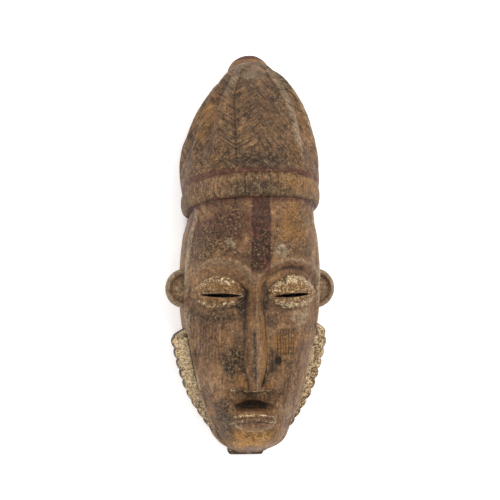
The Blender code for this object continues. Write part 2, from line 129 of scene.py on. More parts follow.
def section(angle: Array, power: float | Array) -> tuple[Array, Array]:
    """(across, out) on a rounded square of half size 1, at an angle from straight out."""
    across, out = np.sin(angle), np.cos(angle)
    reach = (np.abs(across) ** power + np.abs(out) ** power) ** (-1 / power)
    return across * reach, out * reach


def coordinates(mesh: Mesh) -> Array:
    """The places of a mesh's vertices, one row each."""
    co = np.zeros(len(mesh.vertices) * 3, np.float32)
    mesh.vertices.foreach_get("co", co)
    return co.reshape(-1, 3).astype(float)


def outward(mesh: Mesh) -> Array:
    """The unit normals at a mesh's vertices, one row each."""
    normals = np.zeros(len(mesh.vertices) * 3, np.float32)
    mesh.vertex_normals.foreach_get("vector", normals)
    return normals.reshape(-1, 3).astype(float)


def shaped(bm: bmesh.types.BMesh, name: str) -> Mesh:
    """The mesh of a form that is done."""
    mesh = bpy.data.meshes.new(name)
    bm.to_mesh(mesh)
    bm.free()
    return mesh


def placed(mesh: Mesh, points: Array) -> None:
    """Moves a mesh's vertices to new places."""
    mesh.vertices.foreach_set("co", points.astype(np.float32).ravel())
    mesh.update()


@dataclass(frozen=True)
class Unevenness:
    """Repeatable soft unevenness in space, from a table of seeded random values."""

    seed: int
    entries: int = 4096

    def at(self, points: Array, size: float | Triple) -> Array:
        """Reads the unevenness.

        Args:
            points: places, one row each.
            size: the size of a swelling, one for all axes or one for each.

        Returns:
            A value from -1 to 1 for each place.
        """
        table = np.random.default_rng(self.seed).uniform(-1, 1, self.entries)
        cell = points / np.array(size)
        base = np.floor(cell).astype(np.int64)
        t = cell - base
        t = t * t * (3 - 2 * t)
        total = np.zeros(len(points))
        for corner in np.ndindex(2, 2, 2):
            at = (base + corner) * (73856093, 19349663, 83492791)
            key = (at[:, 0] ^ at[:, 1] ^ at[:, 2]) % self.entries
            share = np.prod(np.where(np.array(corner) == 1, t, 1 - t), axis=1)
            total += share * table[key]
        return total

    def layered(self, points: Array, size: float, layers: int = 3) -> Array:
        """Unevenness in layers, each half as large and half as strong as the one before."""
        return sum(self.at(points + 7.3 * i * size, size / 2**i) / 2**i for i in range(layers))


@dataclass(frozen=True)
class Patch:
    """A soft area of the front, in millimetres: its middle, half sizes and strength."""

    x: float
    y: float
    half_wide: float
    half_high: float
    strength: float = 1.0

    def on(self, points: Array) -> Array:
        """How much of the patch lies at each place, from 0 to its strength; none behind the front."""
        x, y = points[:, 0] / MM - self.x, points[:, 1] / MM - self.y
        reach = np.hypot(x / self.half_wide, y / self.half_high)
        return self.strength * ramp(reach, 1.75, 0.25) * ramp(points[:, 2], 0.020, 0.040)


def patches(*rows: tuple[float, ...]) -> tuple[Patch, ...]:
    """Patches from rows of their values."""
    return tuple(Patch(*row) for row in rows)


@dataclass(frozen=True)
class MaskSize:
    """The mask's overall sizes."""

    length: float = 0.380
    head_width: float = 0.132
    depth: float = 0.100
    wall: float = 0.015

    @property
    def half_length(self) -> float:
        """Half the mask's length."""
        return self.length / 2

    @property
    def half_width(self) -> float:
        """Half the head's greatest width."""
        return self.head_width / 2


@dataclass(frozen=True)
class Rows:
    """How densely the rows and columns of facets lie on the head."""

    around: int = 208
    along: int = 336
    front: float = 0.54
    front_angle: float = 48.0
    side: float = 0.40
    side_angle: float = 106.0

    def turned(self, angle: Array) -> Array:
        """Evenly spaced angles, drawn together on the front and spread where the rim cuts them off."""
        share = np.abs(angle) / math.pi
        places = (0, self.front, self.front + self.side, 1)
        turns = (0, self.front_angle, self.side_angle, 180)
        return np.sign(angle) * np.radians(np.interp(share, places, turns))

    def shifted(self, along: Array) -> Array:
        """Evenly spaced places along the head, drawn together at its ends, the eyes and the mouth."""
        levels = np.linspace(-1, 1, 2001)
        density = 1 + 5.0 * ramp(np.abs(levels), 0.93, 1.0)
        density += 0.45 * ramp(np.abs(levels + 0.16), 0.16, 0.06)
        density += 1.1 * ramp(np.abs(levels + 0.745), 0.15, 0.09)
        share = np.cumsum(density)
        share = (share - share[0]) / (share[-1] - share[0]) * 2 - 1
        return np.interp(along, share, levels)


@dataclass(frozen=True)
class Head:
    """The head's plain form, which everything else is carved on."""

    size: MaskSize = MaskSize()
    end_low: float = -0.988
    end_high: float = 0.955
    half_widths: Stations = (
        (-0.988, 0.0), (-0.965, 0.31), (-0.926, 0.455), (-0.826, 0.585), (-0.684, 0.75), (-0.574, 0.82),
        (-0.458, 0.885), (-0.32, 0.96), (-0.16, 0.98), (0.0, 0.965), (0.09, 0.935), (0.165, 0.88),
        (0.21, 0.87), (0.29, 0.95), (0.395, 0.995), (0.516, 0.97), (0.616, 0.885), (0.721, 0.755),
        (0.842, 0.500), (0.895, 0.362), (0.94, 0.205), (0.955, 0.0),
    )
    front_depths: Stations = (
        (-0.988, 0.60), (-0.926, 0.68), (-0.826, 0.76), (-0.684, 0.79), (-0.458, 0.81), (-0.247, 0.85),
        (-0.068, 0.93), (0.079, 0.99), (0.29, 0.98), (0.395, 1.0), (0.516, 0.98), (0.616, 0.93),
        (0.721, 0.86), (0.842, 0.75), (0.955, 0.60),
    )
    widest_heights: Stations = (
        (-0.988, 0.10), (-0.90, 0.04), (-0.60, 0.04), (-0.30, 0.04), (0.0, 0.08), (0.10, 0.14), (0.20, 0.27),
        (0.45, 0.24), (0.60, 0.35), (0.80, 0.55), (0.90, 0.52), (0.955, 0.38),
    )
    front_squareness: Stations = (
        (-0.988, 2.6), (-0.6, 2.8), (-0.2, 3.1), (0.08, 2.7), (0.4, 2.3), (0.955, 2.2),
    )
    back_squareness: float = 4.0
    end_squareness: float = 16.0
    below_rim: float = 0.012

    def level(self, y: Array) -> Array:
        """Places along the mask as shares of half its length."""
        return y / self.size.half_length

    def half_width(self, y: Array) -> Array:
        """Half the head's width at each place along it."""
        return self.size.half_width * rounded(self.half_widths, self.level(y))

    def front_depth(self, y: Array) -> Array:
        """How high the middle of the front stands above the rim's plane."""
        return self.size.depth * through(self.front_depths, self.level(y))

    def widest_height(self, y: Array) -> Array:
        """How high above the rim's plane the head is at its widest."""
        return self.size.depth * through(self.widest_heights, self.level(y))

    def squareness(self, angle: Array, y: Array) -> Array:
        """How square the section is, at the front and at the back of its widest line."""
        front = through(self.front_squareness, self.level(y))
        return np.where(np.cos(angle) > 0, front, self.back_squareness)

    def between_ends(self, along: Array, low: float, high: float) -> Array:
        """Levels from one end (-1) to the other (1), given as shares of half the length."""
        return ((low + high) / 2 + (high - low) / 2 * along) * self.size.half_length

    def place(self, angle: Array, along: Array) -> Array:
        """Places points on the plain head.

        Args:
            angle: turns about the length from straight out, in radians.
            along: places from the chin's end (-1) to the crown's (1).

        Returns:
            The points, one row each; the form runs below the rim.
        """
        y = self.between_ends(along, self.end_low, self.end_high)
        closing = np.sqrt(1 - np.abs(along) ** self.end_squareness)
        across, out = section(angle, self.squareness(angle, y))
        middle = self.widest_height(y)
        rise = np.where(out > 0, self.front_depth(y) - middle, middle + self.below_rim) * closing
        return np.column_stack([across * self.half_width(y), y, middle + out * rise])

    def angle_at(self, points: Array) -> Array:
        """The turn about the length of each place, as place takes it."""
        x, y, z = points.T
        middle = self.widest_height(y)
        rise = np.where(z > middle, self.front_depth(y) - middle, middle + self.below_rim)
        return np.arctan2(x / np.maximum(self.half_width(y), TINY), (z - middle) / np.maximum(rise, TINY))


def moved_sphere(name: str, around: int, along: int, place: Callable[[Array, Array], Array]) -> Mesh:
    """Makes a closed form from a unit sphere.

    Args:
        name: the mesh's name.
        around: facets round the length.
        along: facets along it.
        place: takes turns about the length and places along it, and gives the points.

    Returns:
        The mesh, with its faces pointing out.
    """
    bm = bmesh.new()
    upright = Matrix.Rotation(math.radians(90), 4, "X")
    bmesh.ops.create_uvsphere(bm, u_segments=around, v_segments=along, radius=1, matrix=upright)
    ball = np.array([vertex.co for vertex in bm.verts])
    latitude = np.arcsin(np.clip(ball[:, 1], -1, 1)) * 2 / math.pi
    for vertex, co in zip(bm.verts, place(np.arctan2(ball[:, 0], ball[:, 2]), latitude)):
        vertex.co = co
    bmesh.ops.recalc_face_normals(bm, faces=bm.faces)
    return shaped(bm, name)


@dataclass(frozen=True)
class Band:
    """The rolled band tied round the headdress's foot, lower at the back than at the front."""

    head: Head = Head()
    level: float = 0.338
    tilt: float = 0.20
    lean: float = 0.022
    height: float = 0.0235
    thickness: float = 0.0165
    side_stand: float = 0.0005
    front_stand: float = 0.0055
    around: int = 200
    across: int = 24

    @property
    def y(self) -> float:
        """The band's place along the mask."""
        return self.level * self.head.size.half_length

    def tilted(self, points: Array) -> Array:
        """The place along the mask in the band's own slanting plane."""
        return points[:, 1] + self.tilt * (self.head.size.depth - points[:, 2]) - self.lean * points[:, 0]

    def mesh(self) -> Mesh:
        """The band as a closed ring that follows the head's section."""
        bm = bmesh.new()
        tube = 0.25
        ring = bmesh.ops.create_circle(bm, cap_ends=False, radius=tube, segments=self.across)["verts"]
        bmesh.ops.translate(bm, verts=ring, vec=(1, 0, 0))
        bmesh.ops.spin(
            bm, geom=bm.verts[:] + bm.edges[:], cent=(0, 0, 0), axis=(0, 1, 0), dvec=(0, 0, 0),
            angle=2 * math.pi, steps=self.around, use_merge=True, use_duplicate=False,
        )
        bmesh.ops.remove_doubles(bm, verts=bm.verts, dist=1e-5)
        bmesh.ops.recalc_face_normals(bm, faces=bm.faces)
        mesh = shaped(bm, "band")
        points = coordinates(mesh)
        angle = np.arctan2(points[:, 0], points[:, 2])
        out_of_ring = (np.hypot(points[:, 0], points[:, 2]) - 1) / tube
        up = points[:, 1] / tube
        roll = (np.abs(out_of_ring) ** 2.5 + np.abs(up) ** 2.5) ** (-1 / 2.5)
        level = np.array([self.y])
        wide = self.head.half_width(level) + self.side_stand - self.thickness / 2
        deep = self.head.front_depth(level) + self.front_stand - self.thickness / 2
        middle = self.head.widest_height(level)
        across, out = section(angle, 2.4)
        height = middle + out * np.where(out > 0, deep - middle, middle + self.head.below_rim)
        away = np.column_stack([across, np.zeros_like(angle), out])
        away /= np.linalg.norm(away, axis=1)[:, None]
        line = np.column_stack([across * wide, self.y - self.tilt * (deep - height), height])
        done = line + away * (out_of_ring * roll * self.thickness / 2)[:, None]
        done[:, 1] += up * roll * self.height / 2 + self.lean * done[:, 0]
        placed(mesh, done)
        return mesh


@dataclass(frozen=True)
class Headdress:
    """The tall headdress: flutes that run together at the crown, and the bun behind it."""

    head: Head = Head()
    band: Band = Band()
    crest_angles: tuple[float, ...] = (37.0, 62.0, 87.0, 112.0)
    crest_spreads: Stations = (
        (0.2, 1.0), (0.62, 1.0), (0.75, 1.08), (0.845, 1.25), (0.90, 1.50), (0.955, 1.8),
    )
    flute_depth: float = 0.0054
    panel_depth: float = 0.0036
    panel_groove: float = 0.021
    panel_groove_share: float = 0.46
    squareness: float = 2.3
    stroke_angle: float = 50.0
    bun_half_size: Triple = (0.0205, 0.0190, 0.0175)
    bun_back: float = 0.0205

    def turn(self, angle: Array, y: Array) -> Array:
        """The angle from the front, by which the crests run straight."""
        return np.abs(angle) / through(self.crest_spreads, self.head.level(y))

    def above_band(self, points: Array, low: float = -0.006, high: float = 0.016) -> Array:
        """0 at the band and below, and 1 on the headdress."""
        return ramp(self.band.tilted(points) - self.band.y - self.band.height / 2, low, high)

    def groove_x(self, y: Array) -> Array:
        """How far the panel's grooves run from the middle."""
        wide = np.maximum(self.head.half_width(y), TINY)
        return np.minimum(self.panel_groove, self.panel_groove_share * wide)

    def flutes(self, angle: Array, points: Array) -> Array:
        """How deep the headdress is cut between its crests."""
        x, y, _ = points.T
        crests = np.radians(self.crest_angles)
        turn = self.turn(angle, y)
        wide = np.maximum(self.head.half_width(y), TINY)
        depth = np.zeros_like(turn)
        for near, far in zip(crests, crests[1:]):
            depth += self.flute_depth * np.sin(math.pi * np.clip((turn - near) / (far - near), 0, 1)) ** 1.3
        spread = np.abs(angle) / np.maximum(turn, 1e-9)
        crest_x = wide * section(np.minimum(crests[0] * spread, math.pi / 2), self.squareness)[0]
        groove_x = self.groove_x(y)
        inner = np.clip(np.abs(x) / groove_x, 0, 1) ** 2
        outer = np.clip((np.abs(x) - groove_x) / np.maximum(crest_x - groove_x, TINY), 0, 1) ** 2
        depth += np.where(turn < crests[0], self.panel_depth * (inner - outer), 0)
        return depth * self.above_band(points, 0.0, 0.045) * ramp(wide, 0.010, 0.030)

    def crest(self, angle: Array, points: Array) -> Array:
        """1 along the crests of the flutes, which are worn and carry a painted highlight."""
        turn = self.turn(angle, points[:, 1])
        near = sum(
            strength * hump(turn - math.radians(crest), math.radians(5.6))
            for crest, strength in zip(self.crest_angles, (1.0, 0.6, 0.6))
        )
        return near * self.above_band(points, 0.0, 0.05)

    def bun(self) -> Mesh:
        """The bun behind the crown, whose top is the mask's highest point."""
        centre = np.array([0, self.head.size.half_length - self.bun_half_size[1], self.bun_back])

        def place(angle: Array, along: Array) -> Array:
            """Places points on the bun."""
            latitude = along * math.pi / 2
            flat = np.cos(latitude)
            ball = np.column_stack([np.sin(angle) * flat, np.sin(latitude), np.cos(angle) * flat])
            return centre + ball * self.bun_half_size

        return moved_sphere("bun", 64, 40, place)


@dataclass(frozen=True)
class Ear:
    """A half round ear with a raised rim, a curved groove and a lobe in the middle."""

    head: Head = Head()
    level: float = -0.165
    height: float = 0.037
    reach: float = 0.0165
    thickness: float = 0.014
    back: float = 0.036
    groove_depth: float = 0.0042
    groove_place: float = 0.60
    groove_half_width: float = 0.17
    bowl: float = 0.45
    turn: float = 14.0
    root: float = 0.002

    def place(self, angle: Array, along: Array) -> Array:
        """Places points on the ear at +X."""
        latitude = along * math.pi / 2
        ball = np.column_stack([
            np.sin(angle) * np.cos(latitude), np.sin(latitude), np.cos(angle) * np.cos(latitude),
        ])
        flat = np.hypot(ball[:, 0], ball[:, 1])
        z = self.thickness / 2 * np.sign(ball[:, 2]) * np.maximum(1 - flat**4, 0) ** 0.5
        cut = hump(flat - self.groove_place, self.groove_half_width)
        cut += self.bowl * ramp(flat, self.groove_place, self.groove_place / 2)
        z -= np.where(ball[:, 2] > 0, self.groove_depth * np.clip(cut, 0, 1), 0)
        level = self.level * self.head.size.half_length
        lean = math.radians(self.turn)
        reach = (self.reach + self.root) * ball[:, 0]
        x = self.head.half_width(np.array([level])) - self.root + reach * math.cos(lean)
        y = level + ball[:, 1] * self.height / 2
        return np.column_stack([x, y, self.back + z - reach * math.sin(lean)])

    def reach_at(self, points: Array) -> Array:
        """How far each place lies from the middle of its ear, 1 at the outline."""
        level = self.level * self.head.size.half_length
        root = self.head.half_width(np.array([level])) - self.root
        out = (np.abs(points[:, 0]) - root) / ((self.reach + self.root) * math.cos(math.radians(self.turn)))
        return np.hypot(out, (points[:, 1] - level) / (self.height / 2))

    def mesh(self, side: Side) -> Mesh:
        """The ear at one side of the head."""
        mesh = moved_sphere("ear", 56, 60, self.place)
        if side is Side.LEFT:
            bm = bmesh.new()
            bm.from_mesh(mesh)
            bmesh.ops.scale(bm, verts=bm.verts, vec=(-1, 1, 1))
            bmesh.ops.recalc_face_normals(bm, faces=bm.faces)
            bm.to_mesh(mesh)
            bm.free()
        return mesh


@dataclass(frozen=True)
class BeardBorder:
    """The notched border that runs from cheek to cheek behind the chin."""

    head: Head = Head()
    top: float = -0.262
    left_shoulder: tuple[float, float] = (-0.335, -0.410)
    right_shoulder: tuple[float, float] = (-0.285, -0.385)
    reach: float = 0.0136
    reaches: Stations = (
        (-1.0, 0.20), (-0.90, 0.25), (-0.80, 0.45), (-0.72, 0.68), (-0.60, 0.92), (-0.44, 1.05), (-0.3, 1.0),
    )
    thickness: float = 0.022
    back: float = 0.022
    root: float = 0.004
    squareness: float = 9.0
    tip_half_width: float = 0.0304
    notch_pitch: float = 0.0104
    notch_depth: float = 0.0026
    notch_end: float = -0.90

    def half_width(self, y: Array, side: Array | int) -> Array:
        """The border's plain outline at side -1 or 1, which closes under the chin."""
        level = self.head.level(y)
        tip = ramp(level, -0.93, -0.80)
        reach = self.reach * through(self.reaches, level)
        low = self.head.end_low * self.head.size.half_length
        cheeks = self.head.half_width(np.maximum(y, low)) + reach
        chin = self.tip_half_width * np.sqrt(np.clip((level + 1) / 0.10, 0, None))
        shoulder = np.where(
            np.asarray(side) < 0, ramp(level, *self.left_shoulder), ramp(level, *self.right_shoulder)
        )
        cheeks = cheeks - (1 - shoulder) * (reach + self.root)
        return tip * cheeks + (1 - tip) * np.minimum(chin, cheeks)

    def edge(self) -> tuple[Array, Array]:
        """(levels, length of the edge down to each), for notches with an even pitch."""
        levels = np.linspace(self.left_shoulder[1], -1, 600) * self.head.size.half_length
        wide = self.half_width(levels, 1)
        return levels, np.concatenate([[0], np.cumsum(np.hypot(np.diff(levels), np.diff(wide)))])

    def notches(self, y: Array) -> Array:
        """How far the edge is cut in at each place."""
        levels, along = self.edge()
        share = 2 * ((along / self.notch_pitch) % 1) - 1
        cut = self.notch_depth * (1 - np.sqrt(1 - share**2 * 0.98))
        cut = cut * ramp(self.head.level(levels), self.notch_end, self.notch_end + 0.06)
        return np.interp(-y, -levels, cut)

    def place(self, angle: Array, along: Array) -> Array:
        """Places points on the border, a flat wedge that is rounded at its notched edge."""
        low, high = -self.head.size.half_length, self.top * self.head.size.half_length
        share = 0.85 * along + 0.15 * np.sin(along * math.pi / 2)
        y = (low + high) / 2 + (high - low) / 2 * share
        wide = self.half_width(y, np.sign(np.sin(angle))) - self.notches(y)
        wide *= np.sqrt(np.clip(1 - ((y - low) / (high - low)) ** 30, 0, 1))
        across, out = section(angle, self.squareness)
        thick = self.thickness / 2 * np.maximum(1 - np.abs(share) ** 12, 0)
        return np.column_stack([across * wide, y, self.back + out * thick])

    def mesh(self) -> Mesh:
        """The border as a closed form that reaches into the head."""
        return moved_sphere("beard", 36, 300, self.place)


@dataclass(frozen=True)
class ChinLedge:
    """The low ledge under the chin, a little to one side as it was carved."""

    size: Triple = (0.034, 0.024, 0.016)
    x: float = -0.003
    rounding: float = 0.003

    def mesh(self, mask: MaskSize) -> Mesh:
        """The ledge as a block with rounded edges."""
        bm = bmesh.new()
        centre = Matrix.Translation((self.x, (self.size[1] - mask.length) / 2, self.size[2]))
        bmesh.ops.create_cube(bm, size=1, matrix=centre @ Matrix.Diagonal((*self.size, 1)))
        bmesh.ops.bevel(
            bm, geom=bm.edges[:], offset=self.rounding, segments=4, profile=0.5, affect="EDGES", material=-1
        )
        return shaped(bm, "ledge")


@dataclass(frozen=True)
class Face:
    """The carved face; levels are shares of half the length, places across of half the head's width."""

    head: Head = Head()
    eye_level: float = -0.188
    eye_out: float = 0.525
    lid_half_length: float = 0.0245
    lid_upper: float = 0.0175
    lid_lower: float = 0.0130
    lid_stand: float = 0.0085
    parting_depth: float = 0.0018
    parting_half_height: float = 0.0055
    slit_level: float = -0.192
    slit_out: float = 0.498
    slit_length: float = 0.0365
    slit_height: float = 0.0038
    slit_inner_end: float = 0.48
    left_slope: float = -0.015
    right_slope: float = 0.050
    brow_level: float = -0.190
    brow_out: float = 0.50
    brow_half_width: float = 0.0310
    brow_half_height: float = 0.0285
    brow_drop: float = 0.0080
    brow_ridge: float = 0.0018
    nose_heights: Stations = (
        (-0.68, 0.0135), (-0.62, 0.0160), (-0.42, 0.0130), (-0.28, 0.0085), (-0.18, 0.0035), (-0.11, 0.0),
    )
    nose_half_widths: Stations = (
        (-0.68, 0.0052), (-0.63, 0.0060), (-0.58, 0.0086), (-0.52, 0.0104), (-0.42, 0.0100), (-0.28, 0.0090),
        (-0.18, 0.0075), (-0.11, 0.0060),
    )
    nose_shift: float = -0.0018
    nose_line_half_width: float = 0.0022
    nose_foot: float = -0.648
    nose_foot_rise: float = 0.014
    wing_level: float = -0.604
    wing_out: float = 0.0135
    wing_half_size: tuple[float, float] = (0.0085, 0.0085)
    wing_stand: float = 0.0028
    hollow_level: float = -0.515
    hollow_out: float = 0.0165
    hollow_half_size: tuple[float, float] = (0.0085, 0.020)
    hollow_depth: float = 0.0034
    lip_hollow_depths: Stations = (
        (-0.768, 0.0), (-0.755, 0.0030), (-0.745, 0.0095), (-0.735, 0.0135), (-0.720, 0.0130),
        (-0.695, 0.0095), (-0.672, 0.0062), (-0.656, 0.0040), (-0.645, 0.0005), (-0.640, 0.0),
    )
    lip_hollow_levels: tuple[float, float] = (-0.735, -0.650)
    lip_hollow_half_widths: tuple[float, float] = (0.0175, 0.0270)
    mouth_low: float = -0.846
    mouth_high: float = -0.760
    mouth_half_widths: Stations = (
        (-0.870, 0.0080), (-0.850, 0.0130), (-0.825, 0.0175), (-0.795, 0.0205), (-0.760, 0.0212),
        (-0.730, 0.0200),
    )
    mouth_stand: float = 0.0115
    mouth_foot: tuple[float, float] = (-0.018, 0.028)
    mouth_roof: float = 0.026
    mouth_arch: float = 0.0050
    lower_lip_level: float = -0.784
    lower_lip_half_height: float = 0.0122
    lip_lines: tuple[Triple, ...] = (
        (-0.794, 0.0014, 0.0019), (-0.771, 0.0009, 0.0016), (-0.760, -0.0004, 0.0018),
        (-0.782, -0.0004, 0.0018),
    )
    lip_bend: float = 0.0046
    lip_half_length: float = 0.020
    edge_angle: float = 62.0
    edge_half_angle: float = 4.0
    rubbed_half_angle: float = 6.0
    edge_stand: float = 0.0020

    def above_chin(self, points: Array) -> Array:
        """0 at the chin's end and 1 above it."""
        return ramp(self.head.level(points[:, 1]), -0.97, -0.90)

    def edge_crest(self, angle: Array, points: Array, band: Band) -> Array:
        """1 along the narrow crest down each edge of the face."""
        share = (np.abs(angle) - math.radians(self.edge_angle)) / math.radians(self.edge_half_angle)
        return hump(share, 1.0) * ramp(band.tilted(points), 0.056, 0.046) * self.above_chin(points)

    def rubbed_and_lit_edge(self, angle: Array, points: Array, band: Band) -> Array:
        """1 along the broad band on each edge of the face, which is rubbed and carries a painted highlight.
        """
        share = (np.abs(angle) - math.radians(self.edge_angle + 1)) / math.radians(self.rubbed_half_angle)
        return hump(share, 1.0) * ramp(band.tilted(points), 0.060, 0.050) * self.above_chin(points)

    def socket_reach(self, x: Array, y: Array) -> tuple[Array, Array]:
        """(up, reach): how far each place lies above its eye socket's foot and from its middle."""
        size = self.head.size
        across = (np.abs(x - self.nose_shift) - self.brow_out * size.half_width) / self.brow_half_width
        up = np.maximum(y - self.brow_level * size.half_length, 0) / self.brow_half_height
        return up, np.hypot(across, up)

    def brows(self, x: Array, y: Array) -> Array:
        """The sunk eye sockets under two arched brows."""
        up, reach = self.socket_reach(x, y)
        drop = self.brow_drop * ramp(reach, 1.13, 0.86) * ramp(self.head.level(y), -0.44, -0.24)
        ridge = self.brow_ridge * hump(reach - 1.16, 0.10) * ramp(up, 0.0, 0.25)
        return ridge - drop * ramp(np.abs(x) / np.maximum(self.head.half_width(y), TINY), 0.99, 0.88)

    def brow_highlight(self, x: Array, y: Array) -> Array:
        """1 along painted highlights on the arched brows and down the nose's ridge."""
        up, reach = self.socket_reach(x, y)
        left = x < self.nose_shift
        place, half_width = np.where(left, 1.02, 1.14), np.where(left, 0.26, 0.17)
        arch = hump((reach - place) / half_width, 1.0) * ramp(up, 0.05, 0.35)
        ridge = hump(x - self.nose_shift - 0.002, 0.0042) * ramp(self.head.level(y), -0.17, -0.21)
        return np.maximum(arch, 0.8 * ridge * ramp(self.head.level(y), -0.64, -0.60))

    def nose(self, x: Array, y: Array) -> Array:
        """A long straight nose with a narrow ridge."""
        level = self.head.level(y)
        side = np.clip(1 - np.abs(x - self.nose_shift) / through(self.nose_half_widths, level), 0, 1)
        foot = ramp(level, self.nose_foot - self.nose_foot_rise, self.nose_foot)
        return through(self.nose_heights, level) * foot * (1 - (1 - side) ** 1.2)

    def nose_shade_lines(self, x: Array, y: Array) -> Array:
        """Painted shade: dark lines along the foot of the nose's sides, stronger at the left, and beside its
        ridge.
        """
        level, half = self.head.level(y), self.nose_line_half_width
        off = np.abs(x - self.nose_shift) - through(self.nose_half_widths, level)
        along = ramp(level, -0.63, -0.58) * ramp(level, -0.16, -0.24)
        beside = 1.44 * hump(x - self.nose_shift + 0.0016, half) * ramp(level, -0.30, -0.40)
        return np.maximum(hump(off, half) * np.where(x < self.nose_shift, 0.6, 0.4), beside) * along

    def wings(self, x: Array, y: Array) -> Array:
        """The flat lobes at both sides of the nose's foot, and the hollows of the cheeks above them."""
        half_length = self.head.size.half_length
        across = np.abs((np.abs(x) - self.wing_out) / self.wing_half_size[0])
        up = np.abs((y - self.wing_level * half_length) / self.wing_half_size[1])
        wing = self.wing_stand * ramp((across**3 + up**3) ** (1 / 3), 1.10, 0.50)
        beside = (np.abs(x) - self.hollow_out) / self.hollow_half_size[0]
        along = (y - self.hollow_level * half_length) / self.hollow_half_size[1]
        return wing - self.hollow_depth * ramp(np.hypot(beside, along), 1.0, 0.0)

    def lid_share(self, x: Array, y: Array) -> tuple[Array, Array]:
        """(along, across): how far each place lies from the middle of its eye, 1 at the lids' outline."""
        size = self.head.size
        along = np.clip(np.abs(np.abs(x) - self.eye_out * size.half_width) / self.lid_half_length, 0, 1)
        off = y - self.eye_level * size.half_length
        reach = np.where(off > 0, self.lid_upper, self.lid_lower) * (1 - along**2) ** 0.75
        return along, np.abs(off) / np.maximum(reach, TINY)

    def lids(self, x: Array, y: Array) -> Array:
        """Two bulging almond lids, parted by a furrow."""
        along, across = self.lid_share(x, y)
        across = np.clip(across, 0, 1)
        furrow = hump(y - self.slit_level * self.head.size.half_length, self.parting_half_height)
        furrow = furrow * ramp(along, 0.95, 0.60)
        return self.lid_stand * (1 - across**2) ** 0.55 * (1 - along**2) ** 0.30 - self.parting_depth * furrow

    def lower_lip_rim(self, x: Array, y: Array) -> Array:
        """1 along the rounded edge under the lower lip."""
        across = (x - self.nose_shift) / self.lip_half_length
        down = (y - self.lower_lip_level * self.head.size.half_length) / self.lower_lip_half_height
        return hump(np.hypot(across, down) - 1, 0.13) * ramp(down, -0.05, -0.35)

    def mouth_wide(self, y: Array) -> Array:
        """Half the mouth's width at each level."""
        return through(self.mouth_half_widths, self.head.level(y))

    def mouth(self, x: Array, y: Array) -> Array:
        """A small mouth that juts out under a hollow upper lip, with a double line between its lips."""
        level = self.head.level(y)
        x = x - self.nose_shift
        hollow_wide = np.interp(level, self.lip_hollow_levels, self.lip_hollow_half_widths)
        hollow = through(self.lip_hollow_depths, level) * hump(x, hollow_wide) ** 0.7
        wide = self.mouth_wide(y)
        stand = ramp(level, self.mouth_low + self.mouth_foot[0], self.mouth_low + self.mouth_foot[1])
        arch = self.mouth_arch / self.head.size.half_length * (x / self.mouth_half_widths[-2][1]) ** 2
        stand = stand * ramp(level + arch, self.mouth_high + self.mouth_roof, self.mouth_high)
        stand = stand * np.clip(1 - np.abs(x / wide) ** 2.6, 0, 1) ** 0.75
        half_length = self.head.size.half_length
        bent_y = y + self.lip_bend * (x / self.lip_half_length) ** 2
        lines = sum(depth * hump(bent_y - line * half_length, half) for line, depth, half in self.lip_lines)
        return self.mouth_stand * stand - hollow - lines * ramp(np.abs(x), 1.02 * wide, 0.85 * wide)

    def relief(self, points: Array) -> Array:
        """How far each place of the front is raised by the face's features."""
        x, y, z = points.T
        return ramp(z, 0.020, 0.045) * (
            self.brows(x, y) + self.nose(x, y) + self.wings(x, y) + self.lids(x, y) + self.mouth(x, y)
        )

    def slit(self, side: Side) -> Mesh:
        """A cutter for one eye's slit: an almond prism from inside the hollow to past the lids."""
        size = self.head.size
        bm = bmesh.new()
        bmesh.ops.create_cone(bm, cap_ends=True, segments=64, radius1=1, radius2=1, depth=1)
        slope = self.left_slope if side is Side.LEFT else self.right_slope
        for vertex in bm.verts:
            x, y, z = vertex.co
            almond = y * (1 - x**2) ** 0.25 if abs(x) < 1 else 0
            reach = x * self.slit_length / 2
            vertex.co = (
                side.value * self.slit_out * size.half_width + reach,
                self.slit_level * size.half_length + almond * self.slit_height / 2 + slope * reach,
                size.depth * (self.slit_inner_end + (1.1 - self.slit_inner_end) * (z + 0.5)),
            )
        return shaped(bm, "slit")


